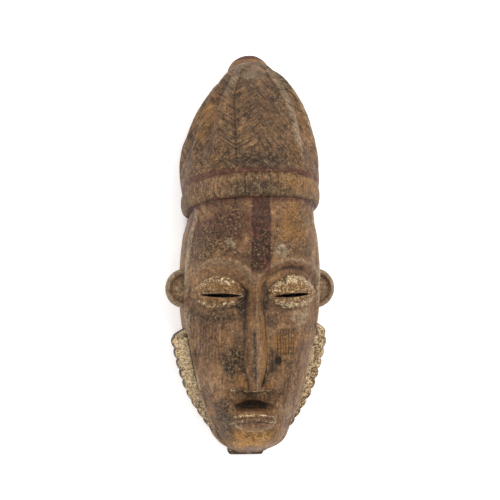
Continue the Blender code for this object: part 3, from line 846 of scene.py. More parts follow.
@dataclass(frozen=True)
class Hollow:
    """The hollow back, hewn with an adze, and the plane of the rim."""

    head: Head = Head()
    end_low: float = -0.875
    end_high: float = 0.815
    end_squareness: float = 10.0
    stroke: Triple = (0.013, 0.021, 0.013)
    stroke_depth: float = 0.0011
    most_depth: float = 0.0009
    strokes: int = 900
    seed: int = 5

    def place(self, angle: Array, along: Array) -> Array:
        """Places points in the hollow, which is the plain head less the wall."""
        wall = self.head.size.wall
        share = np.clip(0.35 * np.sin(along * math.pi / 2) + 0.65 * along, -1, 1)
        y = self.head.between_ends(share, self.end_low, self.end_high)
        closing = np.sqrt(np.maximum(1 - np.abs(share) ** self.end_squareness, 0))
        across, out = section(angle, self.head.squareness(angle, y))
        middle = self.head.widest_height(y)
        deep = (self.head.front_depth(y) - wall - middle) * closing
        rise = np.where(out > 0, deep, middle + self.head.below_rim)
        return np.column_stack([across * (self.head.half_width(y) - wall) * closing, y, middle + out * rise])

    def mesh(self) -> Mesh:
        """The hollow as a closed form, with the shallow dishes of the adze's strokes."""
        mesh = moved_sphere("hollow", 88, 110, self.place)
        points, normals = coordinates(mesh), outward(mesh)
        rng = np.random.default_rng(self.seed)
        centres = rng.uniform(points.min(0), points.max(0), (self.strokes, 3))
        near = np.full(len(points), 9.0)
        for centre in centres:
            near = np.minimum(near, np.sum(((points - centre) / self.stroke) ** 2, axis=1))
        dish = np.clip(1 - near, -0.6, 1) * self.stroke_depth
        placed(mesh, points + normals * np.minimum(dish, self.most_depth)[:, None])
        return mesh

    def floor(self) -> Mesh:
        """A cutter for all that lies below the rim's plane."""
        bm = bmesh.new()
        deep = 4 * self.head.below_rim
        wide = 2 * self.head.size.length
        block = Matrix.Translation((0, 0, -deep / 2)) @ Matrix.Diagonal((wide, wide, deep, 1))
        bmesh.ops.create_cube(bm, size=1, matrix=block)
        return shaped(bm, "below rim")


def linear(colour: str) -> tuple[float, float, float, float]:
    """A colour as the shader takes it.

    Args:
        colour: sRGB as #rrggbb.

    Returns:
        Linear red, green and blue, and 1 for alpha.
    """
    parts = [int(colour[i:i + 2], 16) / 255 for i in (1, 3, 5)]
    return (*[c / 12.92 if c <= 0.04045 else ((c + 0.055) / 1.055) ** 2.4 for c in parts], 1.0)


@dataclass(frozen=True)
class Term:
    """A number or colour of a finish; a sum of terms adds its nodes to the finish."""

    finish: "Finish"
    socket: NodeSocket

    def by(self, operation: str, *others: "Term | float") -> "Term":
        """This term put through one sum."""
        return self.finish.add("Math", (self, *others), operation=operation)

    def __add__(self, other: "Term | float") -> "Term":
        """The two together."""
        return self.by("ADD", other)

    def __sub__(self, other: "Term | float") -> "Term":
        """The difference of the two."""
        return self.by("SUBTRACT", other)

    def __mul__(self, other: "Term | float") -> "Term":
        """The product of the two."""
        return self.by("MULTIPLY", other)


@dataclass
class Finish:
    """A material under construction."""

    name: str
    material: Material = field(init=False)
    tree: NodeTree = field(init=False)
    shader: Node = field(init=False)

    def __post_init__(self) -> None:
        """Makes the empty material."""
        self.material = bpy.data.materials.new(self.name)
        self.material.use_nodes = True
        self.tree = self.material.node_tree
        self.shader = self.tree.nodes["Principled BSDF"]

    def feed(self, node: Node, values: dict) -> None:
        """Sets or links a node's inputs, by name or number; a colour may be #rrggbb."""
        for key, value in values.items():
            if isinstance(value, Term):
                self.tree.links.new(value.socket, node.inputs[key])
            else:
                node.inputs[key].default_value = linear(value) if isinstance(value, str) else value

    def add(self, kind: str, values: dict | tuple = (), out: int | str = 0, **settings: str) -> Term:
        """Adds one node with its settings and links.

        Args:
            kind: the node's type, without its ShaderNode prefix.
            values: what each input gets, by name or number, or in order.
            out: the output to give, by name or number.
            settings: the node's own settings.

        Returns:
            The node's output.
        """
        node = self.tree.nodes.new("ShaderNode" + kind)
        for key, value in settings.items():
            setattr(node, key, value)
        self.feed(node, values if isinstance(values, dict) else dict(enumerate(values)))
        return Term(self, node.outputs[out])

    def layers(self, *names: str) -> dict[str, Term]:
        """The numbers that the mesh carries under these names."""
        return {name: self.add("Attribute", (), "Fac", attribute_name=name) for name in names}

    def places(self, stretch: Triple = (1, 1, 1), at: Term | None = None) -> Term:
        """Places on the object, or others, squeezed or stretched for a pattern with a run."""
        at = at or self.add("TexCoord", (), "Object")
        return self.add("Mapping", {"Vector": at, "Scale": stretch})

    def pattern(
        self, size: float, detail: float = 3.0, rough: float = 0.55, warp: float = 0.0,
        stretch: Triple = (1, 1, 1), at: Term | None = None,
    ) -> Term:
        """A soft uneven pattern on the object.

        Args:
            size: the size of its largest swellings, in metres.
            detail: how many finer layers it has.
            rough: how strong they are.
            warp: how twisted it is.
            stretch: how much it is squeezed along each axis.
            at: other places than those on the object.

        Returns:
            A value round 0.5, from 0 to 1.
        """
        return self.add("TexNoise", {
            "Vector": self.places(stretch, at), "Scale": 1 / size, "Detail": detail, "Roughness": rough,
            "Distortion": warp,
        })

    def coat(
        self, under: Term | str | tuple, value: Term, low: float, high: float, over: Term | str | tuple,
        most: Term | float = 1.0,
    ) -> Term:
        """Lays one colour over another by a value.

        Args:
            under: the colour that is there.
            value: the value that the coat follows.
            low: where the coat starts.
            high: where it is thickest.
            over: the coat's colour.
            most: its share where it is thickest.

        Returns:
            The colour with its coat.
        """
        share = self.add("MapRange", (value, low, high, 0, most), **SMOOTH)
        return self.add("Mix", {0: share, 6: under, 7: over}, 2, **COLOURS)

    def shades(self, value: Term, *stops: tuple[float, str]) -> Term:
        """A run of colours over a value, even between stops."""
        places, colours = zip(*stops)
        colour = colours[0]
        for low, high, following in zip(places, places[1:], colours[1:]):
            share = self.add("MapRange", (value, low, high))
            colour = self.add("Mix", {0: share, 6: colour, 7: following}, 2, **COLOURS)
        return colour


class PaintedWood:
    """Old carved wood under worn paint and a crusty patina: brown, ochre, cream, dark red and soot, with
    painted highlights and painted shade.
    """

    def build(self) -> Material:
        """The finish of all the carved outside."""
        f = Finish("weathered painted wood")
        layer = f.layers(*PAINTS, "crust", "strokes", "cross", "hair", "dirt_and_shade", "wear")
        broad = f.pattern(0.024, 5, 0.62, 0.8)
        middle = f.pattern(0.0080, 5, 0.65, 0.5)
        small = f.pattern(0.0032, 4, 0.65, 0.3)
        fine = f.pattern(0.0013, 3, 0.6)
        patchy = f.pattern(0.0140, 3, 0.6, 0.6)
        grain = f.pattern(0.0021, 3, 0.6, stretch=(1, 0.10, 1))
        broken = middle * 0.55 + small * 0.45
        crust = small * 0.65 + fine * 0.35

        # Brown wood whose tone drifts, with greyer and lighter spots and darker grain
        colour = f.shades(broad, (0.32, "#573f2e"), (0.45, "#6c4f38"), (0.55, "#7b5b3f"), (0.68, "#8a6947"))
        colour = f.coat(colour, middle, 0.50, 0.66, "#4e4131", 0.6)
        colour = f.coat(colour, middle, 0.45, 0.33, "#8a6843", 0.5)
        colour = f.coat(colour, grain, 0.52, 0.70, "#3c2d20", 0.35)

        ochre = f.coat("#906839", small, 0.36, 0.64, "#755534")
        paints = {
            # Orange ochre where paint has stayed, freshest on the chin; lighter on the band's upper right and
            # on the arched brows as painted highlight
            "ochre": (2.0, 0.30, 0.95, f.coat(ochre, layer["ochre"], 1.1, 1.8, "#b4813f", 0.8)),
            # Purplish brown glaze
            "mauve": (2.0, 0.30, 0.95, f.shades(small, (0, "#4f3628"), (1, "#664534"))),
            # Olive grey bloom where hands have rubbed it, with painted highlights along the headdress's
            # crests, the face's edges and the arched brows
            "grey": (1.6, 0.30, 0.95, f.shades(small, (0, "#96826a"), (1, "#7c6954"))),
            # Soot and handling dirt, and painted shade along the nose's sides, under the nose, in the eyes'
            # inner corners, on the hair's left, the band's lower middle and the ledge's foot
            "dark": (2.6, 0.25, 1.05, f.coat("#352a20", small, 0.36, 0.62, "#524232")),
            # Cream kaolin, crusty, with brown showing through, and painted highlights on the slits' walls and
            # the ledge's top
            "cream": (
                3.0, 0.30, 0.85, f.shades(fine, (0.30, "#927557"), (0.47, "#b39a78"), (0.64, "#cfbd9c")),
            ),
            # Dark red paint, sooty in places
            "red": (2.2, 0.30, 0.80, f.coat("#2d1f19", broken, 0.38, 0.60, "#573429")),
        }
        left = {}
        for name, (spread, low, high, paint) in paints.items():
            worn = layer[name] + ((crust if name == "cream" else broken) - 0.5) * spread
            left[name] = f.add("MapRange", (worn, low, high), **SMOOTH)
            colour = f.add("Mix", {0: left[name], 6: colour, 7: paint}, 2, **COLOURS)

        # Crackle and scale of the patina, in patches
        crazed = (f.pattern(0.0046, 4, 0.6, 1.6) - 0.5).by("ABSOLUTE")
        scaly = f.add("MapRange", (layer["crust"] + patchy * 0.8, 0.45, 0.95), **SMOOTH)
        scale = f.add("MapRange", (crazed, 0.040, 0.004, 0, scaly), **SMOOTH)
        colour = f.add("Mix", {0: scale * 0.62, 6: colour, 7: "#2e241b"}, 2, **COLOURS)

        # Knife strokes 2.1 mm apart, drawn along places that the mesh carries in millimetres
        carving = f.add("Attribute", (), "Vector", attribute_name="carving")
        along, across, from_seam = (f.add("SeparateXYZ", (carving,), axis) for axis in "XYZ")
        gaps = f.add("MapRange", (f.pattern(0.0048, 2, 0.5), 0.42, 0.58), **SMOOTH)
        gaps = gaps * f.add("MapRange", (f.pattern(0.020, 2, 0.5), 0.38, 0.56, 0.25), **SMOOTH)
        kept_seam = f.add("MapRange", (small, 0.34, 0.50), **SMOOTH)
        hatch = f.add("MapRange", (from_seam.by("ABSOLUTE"), 1.3, 0.3, 0, kept_seam), **SMOOTH)
        for run, strength in ((along, layer["strokes"]), (across, layer["cross"])):
            off = (run + (middle - 0.5) * 4.5).by("PINGPONG", 1.05)
            cut = gaps.by("MAXIMUM", strength - 0.45)
            hatch = hatch.by("MAXIMUM", f.add("MapRange", (off, 0.70, 0.05, 0, strength * cut), **SMOOTH))
        colour = f.add("Mix", {0: hatch * 0.66, 6: colour, 7: "#261c14"}, 2, **COLOURS)

        # Long fine knife lines of the hair, irregular as cut by hand
        streak = f.pattern(1.7, 3, 0.55, 0.15, (1, 0.13, 0), carving)
        kept = f.add("MapRange", (f.pattern(0.0075, 2, 0.5), 0.40, 0.60, 0.45), **SMOOTH) * layer["hair"]
        lines = f.add("MapRange", (streak, 0.53, 0.62, 0, kept), **SMOOTH)
        colour = f.add("Mix", {0: lines * 0.74, 6: colour, 7: "#2a1f17"}, 2, **COLOURS)
        colour = f.coat(colour, streak, 0.44, 0.36, "#9a7c5a", kept * 0.34)

        # Dirt and painted shade in the hollows, deepest in the recess under the nose; rubbed light wood on
        # the edges
        colour = f.coat(colour, layer["dirt_and_shade"] + (broken - 0.5) * 1.4, 0.20, 1.20, "#221911", 0.92)
        colour = f.coat(colour, layer["wear"] + (broken - 0.5) * 1.8, 0.40, 1.3, "#99835f", 0.50)

        # Crumbs of crust in patches, dark and light; none of the light ones in deep hollows
        open_wood = f.add("MapRange", (layer["dirt_and_shade"], 1.1, 0.5), **SMOOTH)
        crumb = f.pattern(0.0021, 3, 0.7, 0.6)
        spotted = (f.pattern(0.0105, 3, 0.62, 1.0) - 0.5) * 2.0
        crusty = f.add("MapRange", (layer["crust"] + spotted, 0.25, 0.95), **SMOOTH)
        colour = f.coat(colour, crumb, 0.52, 0.60, "#2b2118", crusty * 0.85)
        light = f.add("MapRange", (crumb, 0.45, 0.38, 0, crusty * open_wood * 0.50), **SMOOTH)
        colour = f.add("Mix", {0: light, 6: colour, 7: "#a58d68"}, 2, **COLOURS)

        # Light flecks and dark pits, drawn 1 to 2 mm wide, since real grit is too fine to show
        chalk = f.pattern(0.0019, 2, 0.5, stretch=(1, 1, 1.001))
        dusty = f.add("MapRange", (patchy, 0.44, 0.58, 0, open_wood), **SMOOTH)
        fleck = f.add("MapRange", (chalk, 0.66, 0.72, 0, dusty), **SMOOTH)
        colour = f.add("Mix", {0: fleck * 0.60, 6: colour, 7: "#b9a27b"}, 2, **COLOURS)
        pitted = f.add("MapRange", (middle, 0.40, 0.54), **SMOOTH)
        pit = f.add("MapRange", (chalk, 0.36, 0.30, 0, pitted), **SMOOTH)
        colour = f.add("Mix", {0: pit * 0.70, 6: colour, 7: "#2b2119"}, 2, **COLOURS)
        for source, darker, lighter in (
            (small, (0.68, 0.67, 0.66, 1), (1.33, 1.32, 1.29, 1)),
            (fine, (0.76, 0.76, 0.76, 1), (1.23, 1.23, 1.22, 1)),
        ):
            mottle = f.coat(darker, source, 0.34, 0.66, lighter)
            colour = f.add("Mix", {0: 1.0, 6: colour, 7: mottle}, 2, blend_type="MULTIPLY", **COLOURS)

        height = fine * 0.12
        for source, amount in (
            (small, 0.38), (middle, 0.60), (grain, 0.15), (hatch, -0.45), (pit, -0.25), (fleck, 0.12),
            (left["cream"], 0.22), (scale, -0.22), (light, 0.20), (lines, -0.30),
        ):
            height = height + source * amount
        f.feed(f.shader, {
            "Base Color": colour, "Specular IOR Level": 0.20,
            "Roughness": f.add("MapRange", (middle, 0.3, 0.7, 0.48, 0.72), **SMOOTH) + left["cream"] * 0.14,
            "Normal": f.add("Bump", {"Height": height, "Strength": 1.0, "Distance": MM}),
        })
        return f.material


class AdzedWood:
    """Bare wood that an adze has hollowed out: brown, darkened by breath and handling, with open grain."""

    def build(self) -> Material:
        """The finish of the hollow back, the rim and the slits' walls."""
        f = Finish("adzed bare wood")
        layer = f.layers("dirt_and_shade", "wear")
        grain = f.pattern(0.0022, 4, 0.62, stretch=(1, 0.08, 1))
        broad = f.pattern(0.045, 4, 0.6, 0.5)
        colour = f.shades(broad, (0.30, "#4a3527"), (0.50, "#6b4e37"), (0.68, "#86674a"))
        # Darker and lighter grain, then dirt and painted shade in the hollows and rubbed light wood on the
        # edges
        for source, low, high, hue, most in (
            (grain, 0.42, 0.68, "#3a291d", 0.6), (grain, 0.50, 0.28, "#9a7b58", 0.35),
            (layer["dirt_and_shade"], 0.1, 0.9, "#2a1e15", 0.6), (layer["wear"], 0.25, 0.9, "#a2845f", 0.5),
        ):
            colour = f.coat(colour, source, low, high, hue, most)
        height = grain * 0.45 + f.pattern(0.0012, 2, 0.6) * 0.15
        f.feed(f.shader, {
            "Base Color": colour, "Specular IOR Level": 0.3,
            "Roughness": f.add("MapRange", (grain, 0.3, 0.7, 0.62, 0.82), **SMOOTH),
            "Normal": f.add("Bump", {"Height": height, "Strength": 0.9, "Distance": MM}),
        })
        return f.material


@dataclass(frozen=True)
class GlowingFloor:
    """The studio's white floor, which glows a little away from the mask though it is no lamp, so that the
    mask's shadow on it stays faint.
    """

    glow: float = 0.30
    glow_per_metre: Triple = (18, 6, 0)

    def build(self) -> Material:
        """The finish of the floor."""
        f = Finish("white floor")
        round_mask = f.add("VectorMath", (f.places(self.glow_per_metre),), "Value", operation="LENGTH")
        f.feed(f.shader, {
            "Base Color": "#fbfafa", "Roughness": 0.9, "Specular IOR Level": 0.0, "Emission Color": "#ffffff",
            "Emission Strength": f.add("MapRange", (round_mask, 1.0, 1.15, 0, self.glow), **SMOOTH),
        })
        return f.material


@dataclass(frozen=True)
class Skin:
    """The carved surface, place by place: one row or entry for each vertex."""

    points: Array
    normals: Array
    angle: Array
    label: Array
    head: Head

    @property
    def x(self) -> Array:
        """How far each place lies to the right of the middle."""
        return self.points[:, 0]

    @property
    def y(self) -> Array:
        """How far along the mask each place lies."""
        return self.points[:, 1]

    @property
    def z(self) -> Array:
        """How high above the rim's plane each place lies."""
        return self.points[:, 2]

    @property
    def level(self) -> Array:
        """How far along the mask each place lies, as a share of half its length."""
        return self.head.level(self.y)

    @cached_property
    def drift(self) -> Array:
        """How far the painted edges wander at each place."""
        sides = [0.0050 * Unevenness(31 + i).layered(self.points, 0.016, 3) for i in range(2)]
        return np.column_stack([*sides, np.zeros(len(self.points))])


# How strongly each layer of the finish lies on each area of the carving
STRENGTHS: dict[str, dict[str, float]] = {
    "ochre": {
        "ochre and lit band right": 0.85, "band": 0.45, "ear": 0.65, "bun": 0.55, "walls": 0.55, "lids": 0.75,
        "brow highlights": 0.45,
    },
    "mauve": {},
    # The grey on the crests, the edges and the brows is painted highlight together with rubbed bloom
    "grey": {"crests": 1.0, "edges": 1.10, "brow highlights": 0.60, "walls": 0.40, "ear rim": 1.0},
    "dark": {
        "dark and shaded band middle": 0.90, "shaded ledge foot": 1.3, "lip lines": 0.9, "nose shade lines": 1.0, "shaded hair left": 0.50,
        "hair middle": 0.64, "ear groove": 0.75, "beard edge": 1.2,
    },
    "cream": {
        "painted lids": 1.0, "beard face": 1.0, "front walls": 0.12, "edges": 0.12, "lip ledge": 0.60,
        "chin rim": 0.24, "lip edges": 0.42, "lip rim": 0.36, "lit slit walls": 1.0, "lit ledge top": 0.50,
    },
    "red": {"stripe": 0.84, "band lines": 0.68, "bun top": 0.95},
    "crust": {"hair foot": 0.60, "hair": 0.25, "band": 0.30, "ear": 0.35, "lids": 0.45},
}


@dataclass
class Carving:
    """The whole mask: carves the block, and tells the finish where paint, dirt, wear, painted highlights and
    painted shade lie.
    """

    head: Head = field(default_factory=Head)
    rows: Rows = field(default_factory=Rows)
    band: Band = field(default_factory=Band)
    headdress: Headdress = field(default_factory=Headdress)
    ear: Ear = field(default_factory=Ear)
    beard: BeardBorder = field(default_factory=BeardBorder)
    ledge: ChinLedge = field(default_factory=ChinLedge)
    face: Face = field(default_factory=Face)
    hollow: Hollow = field(default_factory=Hollow)
    uneven: Unevenness = Unevenness(11)
    knife_facet: float = 0.011
    stripe_foot: tuple[float, float] = (-0.021, -0.010)
    stripe_x: float = 0.0012
    lip_edge_places: tuple[float, float] = (-0.1438, -0.1492)
    lip_line_places: tuple[float, float] = (-0.1465, -0.1512)
    lip_ledge_y: float = -0.1234
    chin_rim_y: float = -0.1775
    scar_x: tuple[float, float] = (-43.0, 26.5)
    scar_y: float = -80.0
    knot: tuple[float, float] = (0.020, -0.0965)
    front_from: float = 0.060
    face_from: float = 0.050

    ochre: tuple[Patch, ...] = patches(
        (34, 27, 22, 22, 0.8), (-14, 14, 6, 9, 0.35), (-2, -170, 21, 10, 2.2), (26, -80, 12, 13, 1.1),
        (-14, -115, 8, 8, 0.9), (14, -115, 7, 8, 0.8), (5, -85, 5, 38, 0.8), (0, -141, 18, 4, 0.6),
        (-41, 86, 7, 6, 0.9), (28, 95, 6, 8, 0.9), (9, 130, 10, 12, 0.5), (45, -110, 10, 25, 0.5),
        (-50, -150, 8, 20, 0.4), (10, 118, 12, 22, 0.6), (40, 118, 10, 20, 0.5), (-47, 126, 8, 22, 1.0),
        (-24, 132, 5, 18, 0.5),
    )
    mauve: tuple[Patch, ...] = patches(
        (-38, 26, 26, 12, 1.25), (-10, 30, 8, 12, 1.0), (-40, -82, 18, 22, 0.4), (0, 140, 16, 18, 0.5),
        (0, -154, 14, 5, 0.6), (-6, -95, 4, 30, 0.6), (-20, 60, 60, 5, 0.3),
    )
    grey: tuple[Patch, ...] = patches(
        (-27, 10, 6, 5, 0.9), (20, 0, 9, 11, 0.9), (42, -58, 12, 10, 0.8), (-42, -5, 14, 9, 0.2),
        (30, -140, 8, 14, 0.6), (-5, 168, 12, 8, 0.9), (-40, -120, 12, 14, 0.5), (-20, -150, 6, 16, 0.3),
        (0, -182, 17, 2.0, 0.4), (-48, 128, 5, 20, 0.5), (17, -173, 4, 6, 0.6),
    )
    # Soot and dirt, and painted shade under the nose, in the eyes' inner corners and at the chin's foot
    dark: tuple[Patch, ...] = patches(
        (-36, -54, 22, 6.5, 0.75), (-14, -40, 5, 13, 1.3), (11, -36, 4, 15, 1.2), (13, -58, 5, 16, 0.7),
        (-24, -98, 11, 17, 0.9), (-20, -72, 12, 12, 0.55), (14, -96, 5, 18, 0.8),
        (20, -96.5, 3.4, 3.6, 1.3), (0, -128, 25, 6, 0.65), (-3, -137, 16, 4.5, 1.3),
        (-25, -154, 9, 17, 0.85), (27, -146, 8, 12, 0.4), (-3, 152, 10, 10, 0.9), (6, 128, 6, 12, 0.4),
        (-20, 104, 6, 24, 0.7), (22, 98, 8, 16, 0.5), (0, 82, 40, 10, 1.0), (-38, 26, 24, 10, 0.4),
        (-44, 88, 9, 14, 0.5), (-2, 62, 22, 7, 0.9), (-45, 48, 25, 4, 0.5), (-38, -170, 10, 9, 0.7),
        (0, -188, 22, 5, 0.9), (24, -22, 12, 4, 0.6),
    )
    crust: tuple[Patch, ...] = patches(
        (-42, 8, 20, 16, 1.0), (-26, 30, 16, 14, 0.8), (42, 32, 14, 10, 0.8), (38, 2, 14, 15, 0.75),
        (16, 12, 5, 22, 0.7), (-36, -55, 24, 9, 0.6), (-20, -100, 10, 17, 1.0), (12, -104, 5, 14, 0.9),
        (-26, -148, 10, 18, 1.0), (0, -126, 26, 6, 0.6), (0, -167, 18, 7, 0.95), (-20, -172, 14, 8, 0.6),
        (-14, -42, 4, 10, 1.0), (-38, -85, 16, 16, 0.4), (34, -100, 12, 20, 0.3), (1, 8, 9, 20, 1.1),
    )

    def stood(self) -> Mesh:
        """The head with its flutes and face, before anything is joined to it."""
        mesh = moved_sphere("head", self.rows.around, self.rows.along, self.spread)
        plain, normals = coordinates(mesh), outward(mesh)
        angle = self.head.angle_at(plain)
        lift = self.face.edge_stand * self.face.edge_crest(angle, plain, self.band)
        lift -= self.headdress.flutes(angle, plain)
        done = plain + normals * lift[:, None]
        done[:, 2] += self.face.relief(plain)
        placed(mesh, done)
        return mesh

    def spread(self, angle: Array, along: Array) -> Array:
        """Places on the plain head, with rows and columns drawn together where the carving is fine."""
        return self.head.place(self.rows.turned(angle), self.rows.shifted(along))

    def joined(self) -> Object:
        """The head and the forms joined to it, as one closed mesh with a label on each face."""
        labels = [bpy.data.materials.new(f"form {form.name.lower()}") for form in Form]
        parts = [
            (Form.BAND, self.band.mesh()), (Form.BUN, self.headdress.bun()),
            (Form.LEDGE, self.ledge.mesh(self.head.size)), (Form.EAR, self.ear.mesh(Side.RIGHT)),
            (Form.EAR, self.ear.mesh(Side.LEFT)), (Form.BEARD, self.beard.mesh()),
        ]
        block = self.labelled(self.stood(), Form.HEAD, labels)
        for form, mesh in parts:
            self.cut(block, self.labelled(mesh, form, labels), Cut.JOIN)
        self.settled(block)
        self.roughened(block.data)
        slits = [self.face.slit(side) for side in Side]
        for mesh in (self.hollow.mesh(), self.hollow.floor(), *slits):
            self.cut(block, self.labelled(mesh, Form.INSIDE, labels), Cut.REMOVE)
        self.settled(block)
        return block

    @staticmethod
    def labelled(mesh: Mesh, form: Form, labels: list[Material]) -> Object:
        """An object whose faces carry the label of one form."""
        for label in labels:
            mesh.materials.append(label)
        mesh.polygons.foreach_set("material_index", np.full(len(mesh.polygons), int(form), np.int32))
        made = bpy.data.objects.new(form.name.lower(), mesh)
        bpy.context.scene.collection.objects.link(made)
        return made

    @staticmethod
    def cut(target: Object, other: Object, how: Cut) -> None:
        """Joins or removes one closed form."""
        modifier = target.modifiers.new(other.name, "BOOLEAN")
        modifier.operation = how.value
        modifier.solver = "MANIFOLD"
        modifier.object = other

    @staticmethod
    def settled(target: Object) -> None:
        """Applies the joins and cuts, and removes the forms that they used."""
        used = [modifier.object for modifier in target.modifiers]
        graph = bpy.context.evaluated_depsgraph_get()
        mesh = bpy.data.meshes.new_from_object(target.evaluated_get(graph))
        target.modifiers.clear()
        target.data = mesh
        for other in used:
            bpy.data.objects.remove(other)

    def roughened(self, mesh: Mesh) -> None:
        """The knife's facets, dents and worn edges of old handwork."""
        points, normals = coordinates(mesh), outward(mesh)
        uneven = 0.00030 * self.uneven.layered(points, 0.024, 2)
        facet = np.abs(self.uneven.at(points, (self.knife_facet, 2.2 * self.knife_facet, self.knife_facet)))
        pits = ramp(Unevenness(23).at(points, 0.0035), 0.62, 0.85)
        lift = uneven - 0.00035 * facet - 0.00035 * pits
        lift *= ramp(points[:, 2], 0.001, 0.006)
        placed(mesh, points + normals * lift[:, None])

    @staticmethod
    def form_of(mesh: Mesh) -> Array:
        """The label at each vertex, from the faces around it."""
        face_label = np.zeros(len(mesh.polygons), np.int32)
        mesh.polygons.foreach_get("material_index", face_label)
        loops = np.zeros(len(mesh.loops), np.int32)
        mesh.loops.foreach_get("vertex_index", loops)
        totals = np.zeros(len(mesh.polygons), np.int32)
        mesh.polygons.foreach_get("loop_total", totals)
        label = np.zeros(len(mesh.vertices), np.int32)
        label[loops] = np.repeat(face_label, totals)
        return label

    @staticmethod
    def bent(mesh: Mesh, skin: Skin, rounds: int) -> Array:
        """How far each vertex lies below the smoothed surface round it: above 0 in hollows."""
        edges = np.zeros(len(mesh.edges) * 2, np.int32)
        mesh.edges.foreach_get("vertices", edges)
        a, b = edges.reshape(-1, 2).T
        total = len(skin.points)
        count = np.bincount(np.concatenate([a, b]), minlength=total).astype(float)
        smooth = skin.points.copy()
        for _ in range(rounds):
            around = [
                np.bincount(a, smooth[b, i], total) + np.bincount(b, smooth[a, i], total) for i in range(3)
            ]
            smooth = 0.5 * smooth + 0.5 * np.column_stack(around) / np.maximum(count, 1)[:, None]
        return np.sum((smooth - skin.points) * skin.normals, axis=1)

    def stroke_fields(self, skin: Skin) -> dict[str, Array]:
        """Where the knife strokes run.

        Args:
            skin: the carved surface.

        Returns:
            The layers carving (two places across the strokes and the distance from the stitched
            groove, in millimetres), strokes and cross (how strong each family is), and hair (how
            strong the long fine lines are).
        """
        x, y, z = skin.points.T / MM
        head, band, beard = (skin.label == form for form in (Form.HEAD, Form.BAND, Form.BEARD))
        turned = math.radians(self.headdress.stroke_angle)
        half_width = self.head.half_width(skin.y) / MM
        arc = np.abs(skin.angle) * half_width
        out = np.abs(x) - half_width
        rib = x + self.headdress.groove_x(skin.y) / MM
        on_hair = self.headdress.above_band(skin.points, 0.001, 0.006) * head
        hair = on_hair * ramp(skin.level, 0.96, 0.84)
        left_x, right_x = self.scar_x
        scar_y = y - self.scar_y
        right = ramp(np.abs(x - right_x), 9.5, 8.5) * ramp(np.abs(scar_y), 12.5, 11.5) * head * (z > 40)
        left = ramp(np.abs(x - left_x), 15, 12) * ramp(np.abs(scar_y), 15, 12) * head * (z > 40)
        scars = np.maximum(right, 0.8 * left)
        plain = (hair < 0.01) & head & (scars == 0)
        u = arc * math.sin(turned) + y * math.cos(turned)
        v = arc * math.cos(turned) - y * math.sin(turned)
        u = np.where((rib > -15) & (x < 0), y * 0.82 - np.abs(rib) * 0.57, u)
        strokes, cross = 0.05 * hair, np.zeros(len(x))
        for where, run, side_run, strong, strong_cross in (
            (band, skin.angle * 62 * 1.15, y, 0.70, 0.0),
            (beard, (out - y * 1.05) * 0.62, (-y * 1.05 - out) * 0.62, 0.62, 0.62),
            (scars > 0, (x - right_x) * 0.82, scar_y * 0.46 + 0.5, 1.3 * scars, 1.1 * right),
            (plain, x * 0.9, y, strokes, cross),
        ):
            u, v = np.where(where, run, u), np.where(where, side_run, v)
            strokes, cross = np.where(where, strong, strokes), np.where(where, strong_cross, cross)
        groove = np.where(on_hair * (z > 40) * (y < 165) > 0.5, np.clip(rib, -6, 6), 6)
        cheeks = 0.55 * ramp(z, 30, 50) * head * (y < -55)
        striped = np.where(band, 1.0, np.maximum(hair, cheeks))
        carving = np.column_stack([u, v, groove])
        return {"carving": carving, "strokes": strokes, "cross": cross, "hair": striped}

    def areas(self, skin: Skin) -> dict[str, Array]:
        """Tells where each area of the carving lies.

        Args:
            skin: the carved surface.

        Returns:
            How much of each area lies at each place, from 0 to about 1, by the area's name.
        """
        x, y, z, level, points = skin.x, skin.y, skin.z, skin.level, skin.points
        face, band, headdress = self.face, self.band, self.headdress
        head, banded, beard, ear, bun, ledge = (
            skin.label == form for form in (Form.HEAD, Form.BAND, Form.BEARD, Form.EAR, Form.BUN, Form.LEDGE)
        )
        front, raised = head * (z > self.front_from), head * (z > self.face_from)
        from_nose = np.abs(x - face.nose_shift)
        wander_x, wander_y = skin.drift[:, 0], skin.drift[:, 1]
        along, across = face.lid_share(x + 0.25 * wander_x, y + 0.25 * wander_y)
        lids = ramp(across, 1.25, 0.85) * (along < 1) * (z > 0.040) * head
        slit_y = face.slit_level * self.head.size.half_length
        # Painted highlight where the slits' lit walls show along their edges, most above the outer half of
        # the left slit
        upper_left = (y > slit_y) * ramp(x, -0.030, -0.038) * (x < 0) * ramp(x, -0.052, -0.046)
        lit_slit_wall = hump(y - slit_y, 0.0040) * lids * ramp(along, 0.95, 0.80)
        lip = y + face.lip_bend * ((x - face.nose_shift) / face.lip_half_length) ** 2 + 0.15 * wander_y
        on_lips = ramp(from_nose, 0.0215, 0.0185) * front
        edges, lines = self.lip_edge_places, self.lip_line_places
        stripe = ramp(np.abs(x - self.stripe_x + 0.25 * wander_x), 0.0100, 0.0076)
        stripe = stripe * ramp(y + 0.3 * wander_y, *self.stripe_foot) * (y < 0.070) * front
        off, half = band.tilted(points) - band.y, band.height / 2
        off_drift = off + 0.16 * wander_y
        hair = headdress.above_band(points) * head
        # Painted highlight with rubbed wood along the headdress's crests, strongest high on the left and all
        # along the right above the band
        crown = headdress.crest(skin.angle, points)
        crown = crown * np.where(x < 0, 0.30 + 0.80 * ramp(y, 0.135, 0.162), 1.35 * ramp(y, 0.070, 0.095))
        wall = ramp(np.abs(skin.angle), math.radians(68), math.radians(76)) * head * (level < 0.28)
        # Rubbed wood and painted highlight along the face's edges, broken up unevenly
        rubbed = 0.80 + 0.55 * Unevenness(57).layered(points, 0.020, 2)
        # Painted highlight on the arched brows and the nose's ridge
        arch = face.brow_highlight(x, y) * raised
        reach = self.ear.reach_at(points + skin.drift * 0.1)
        inside_edge = self.beard.half_width(y, np.sign(x)) - self.beard.notches(y) - np.abs(x)
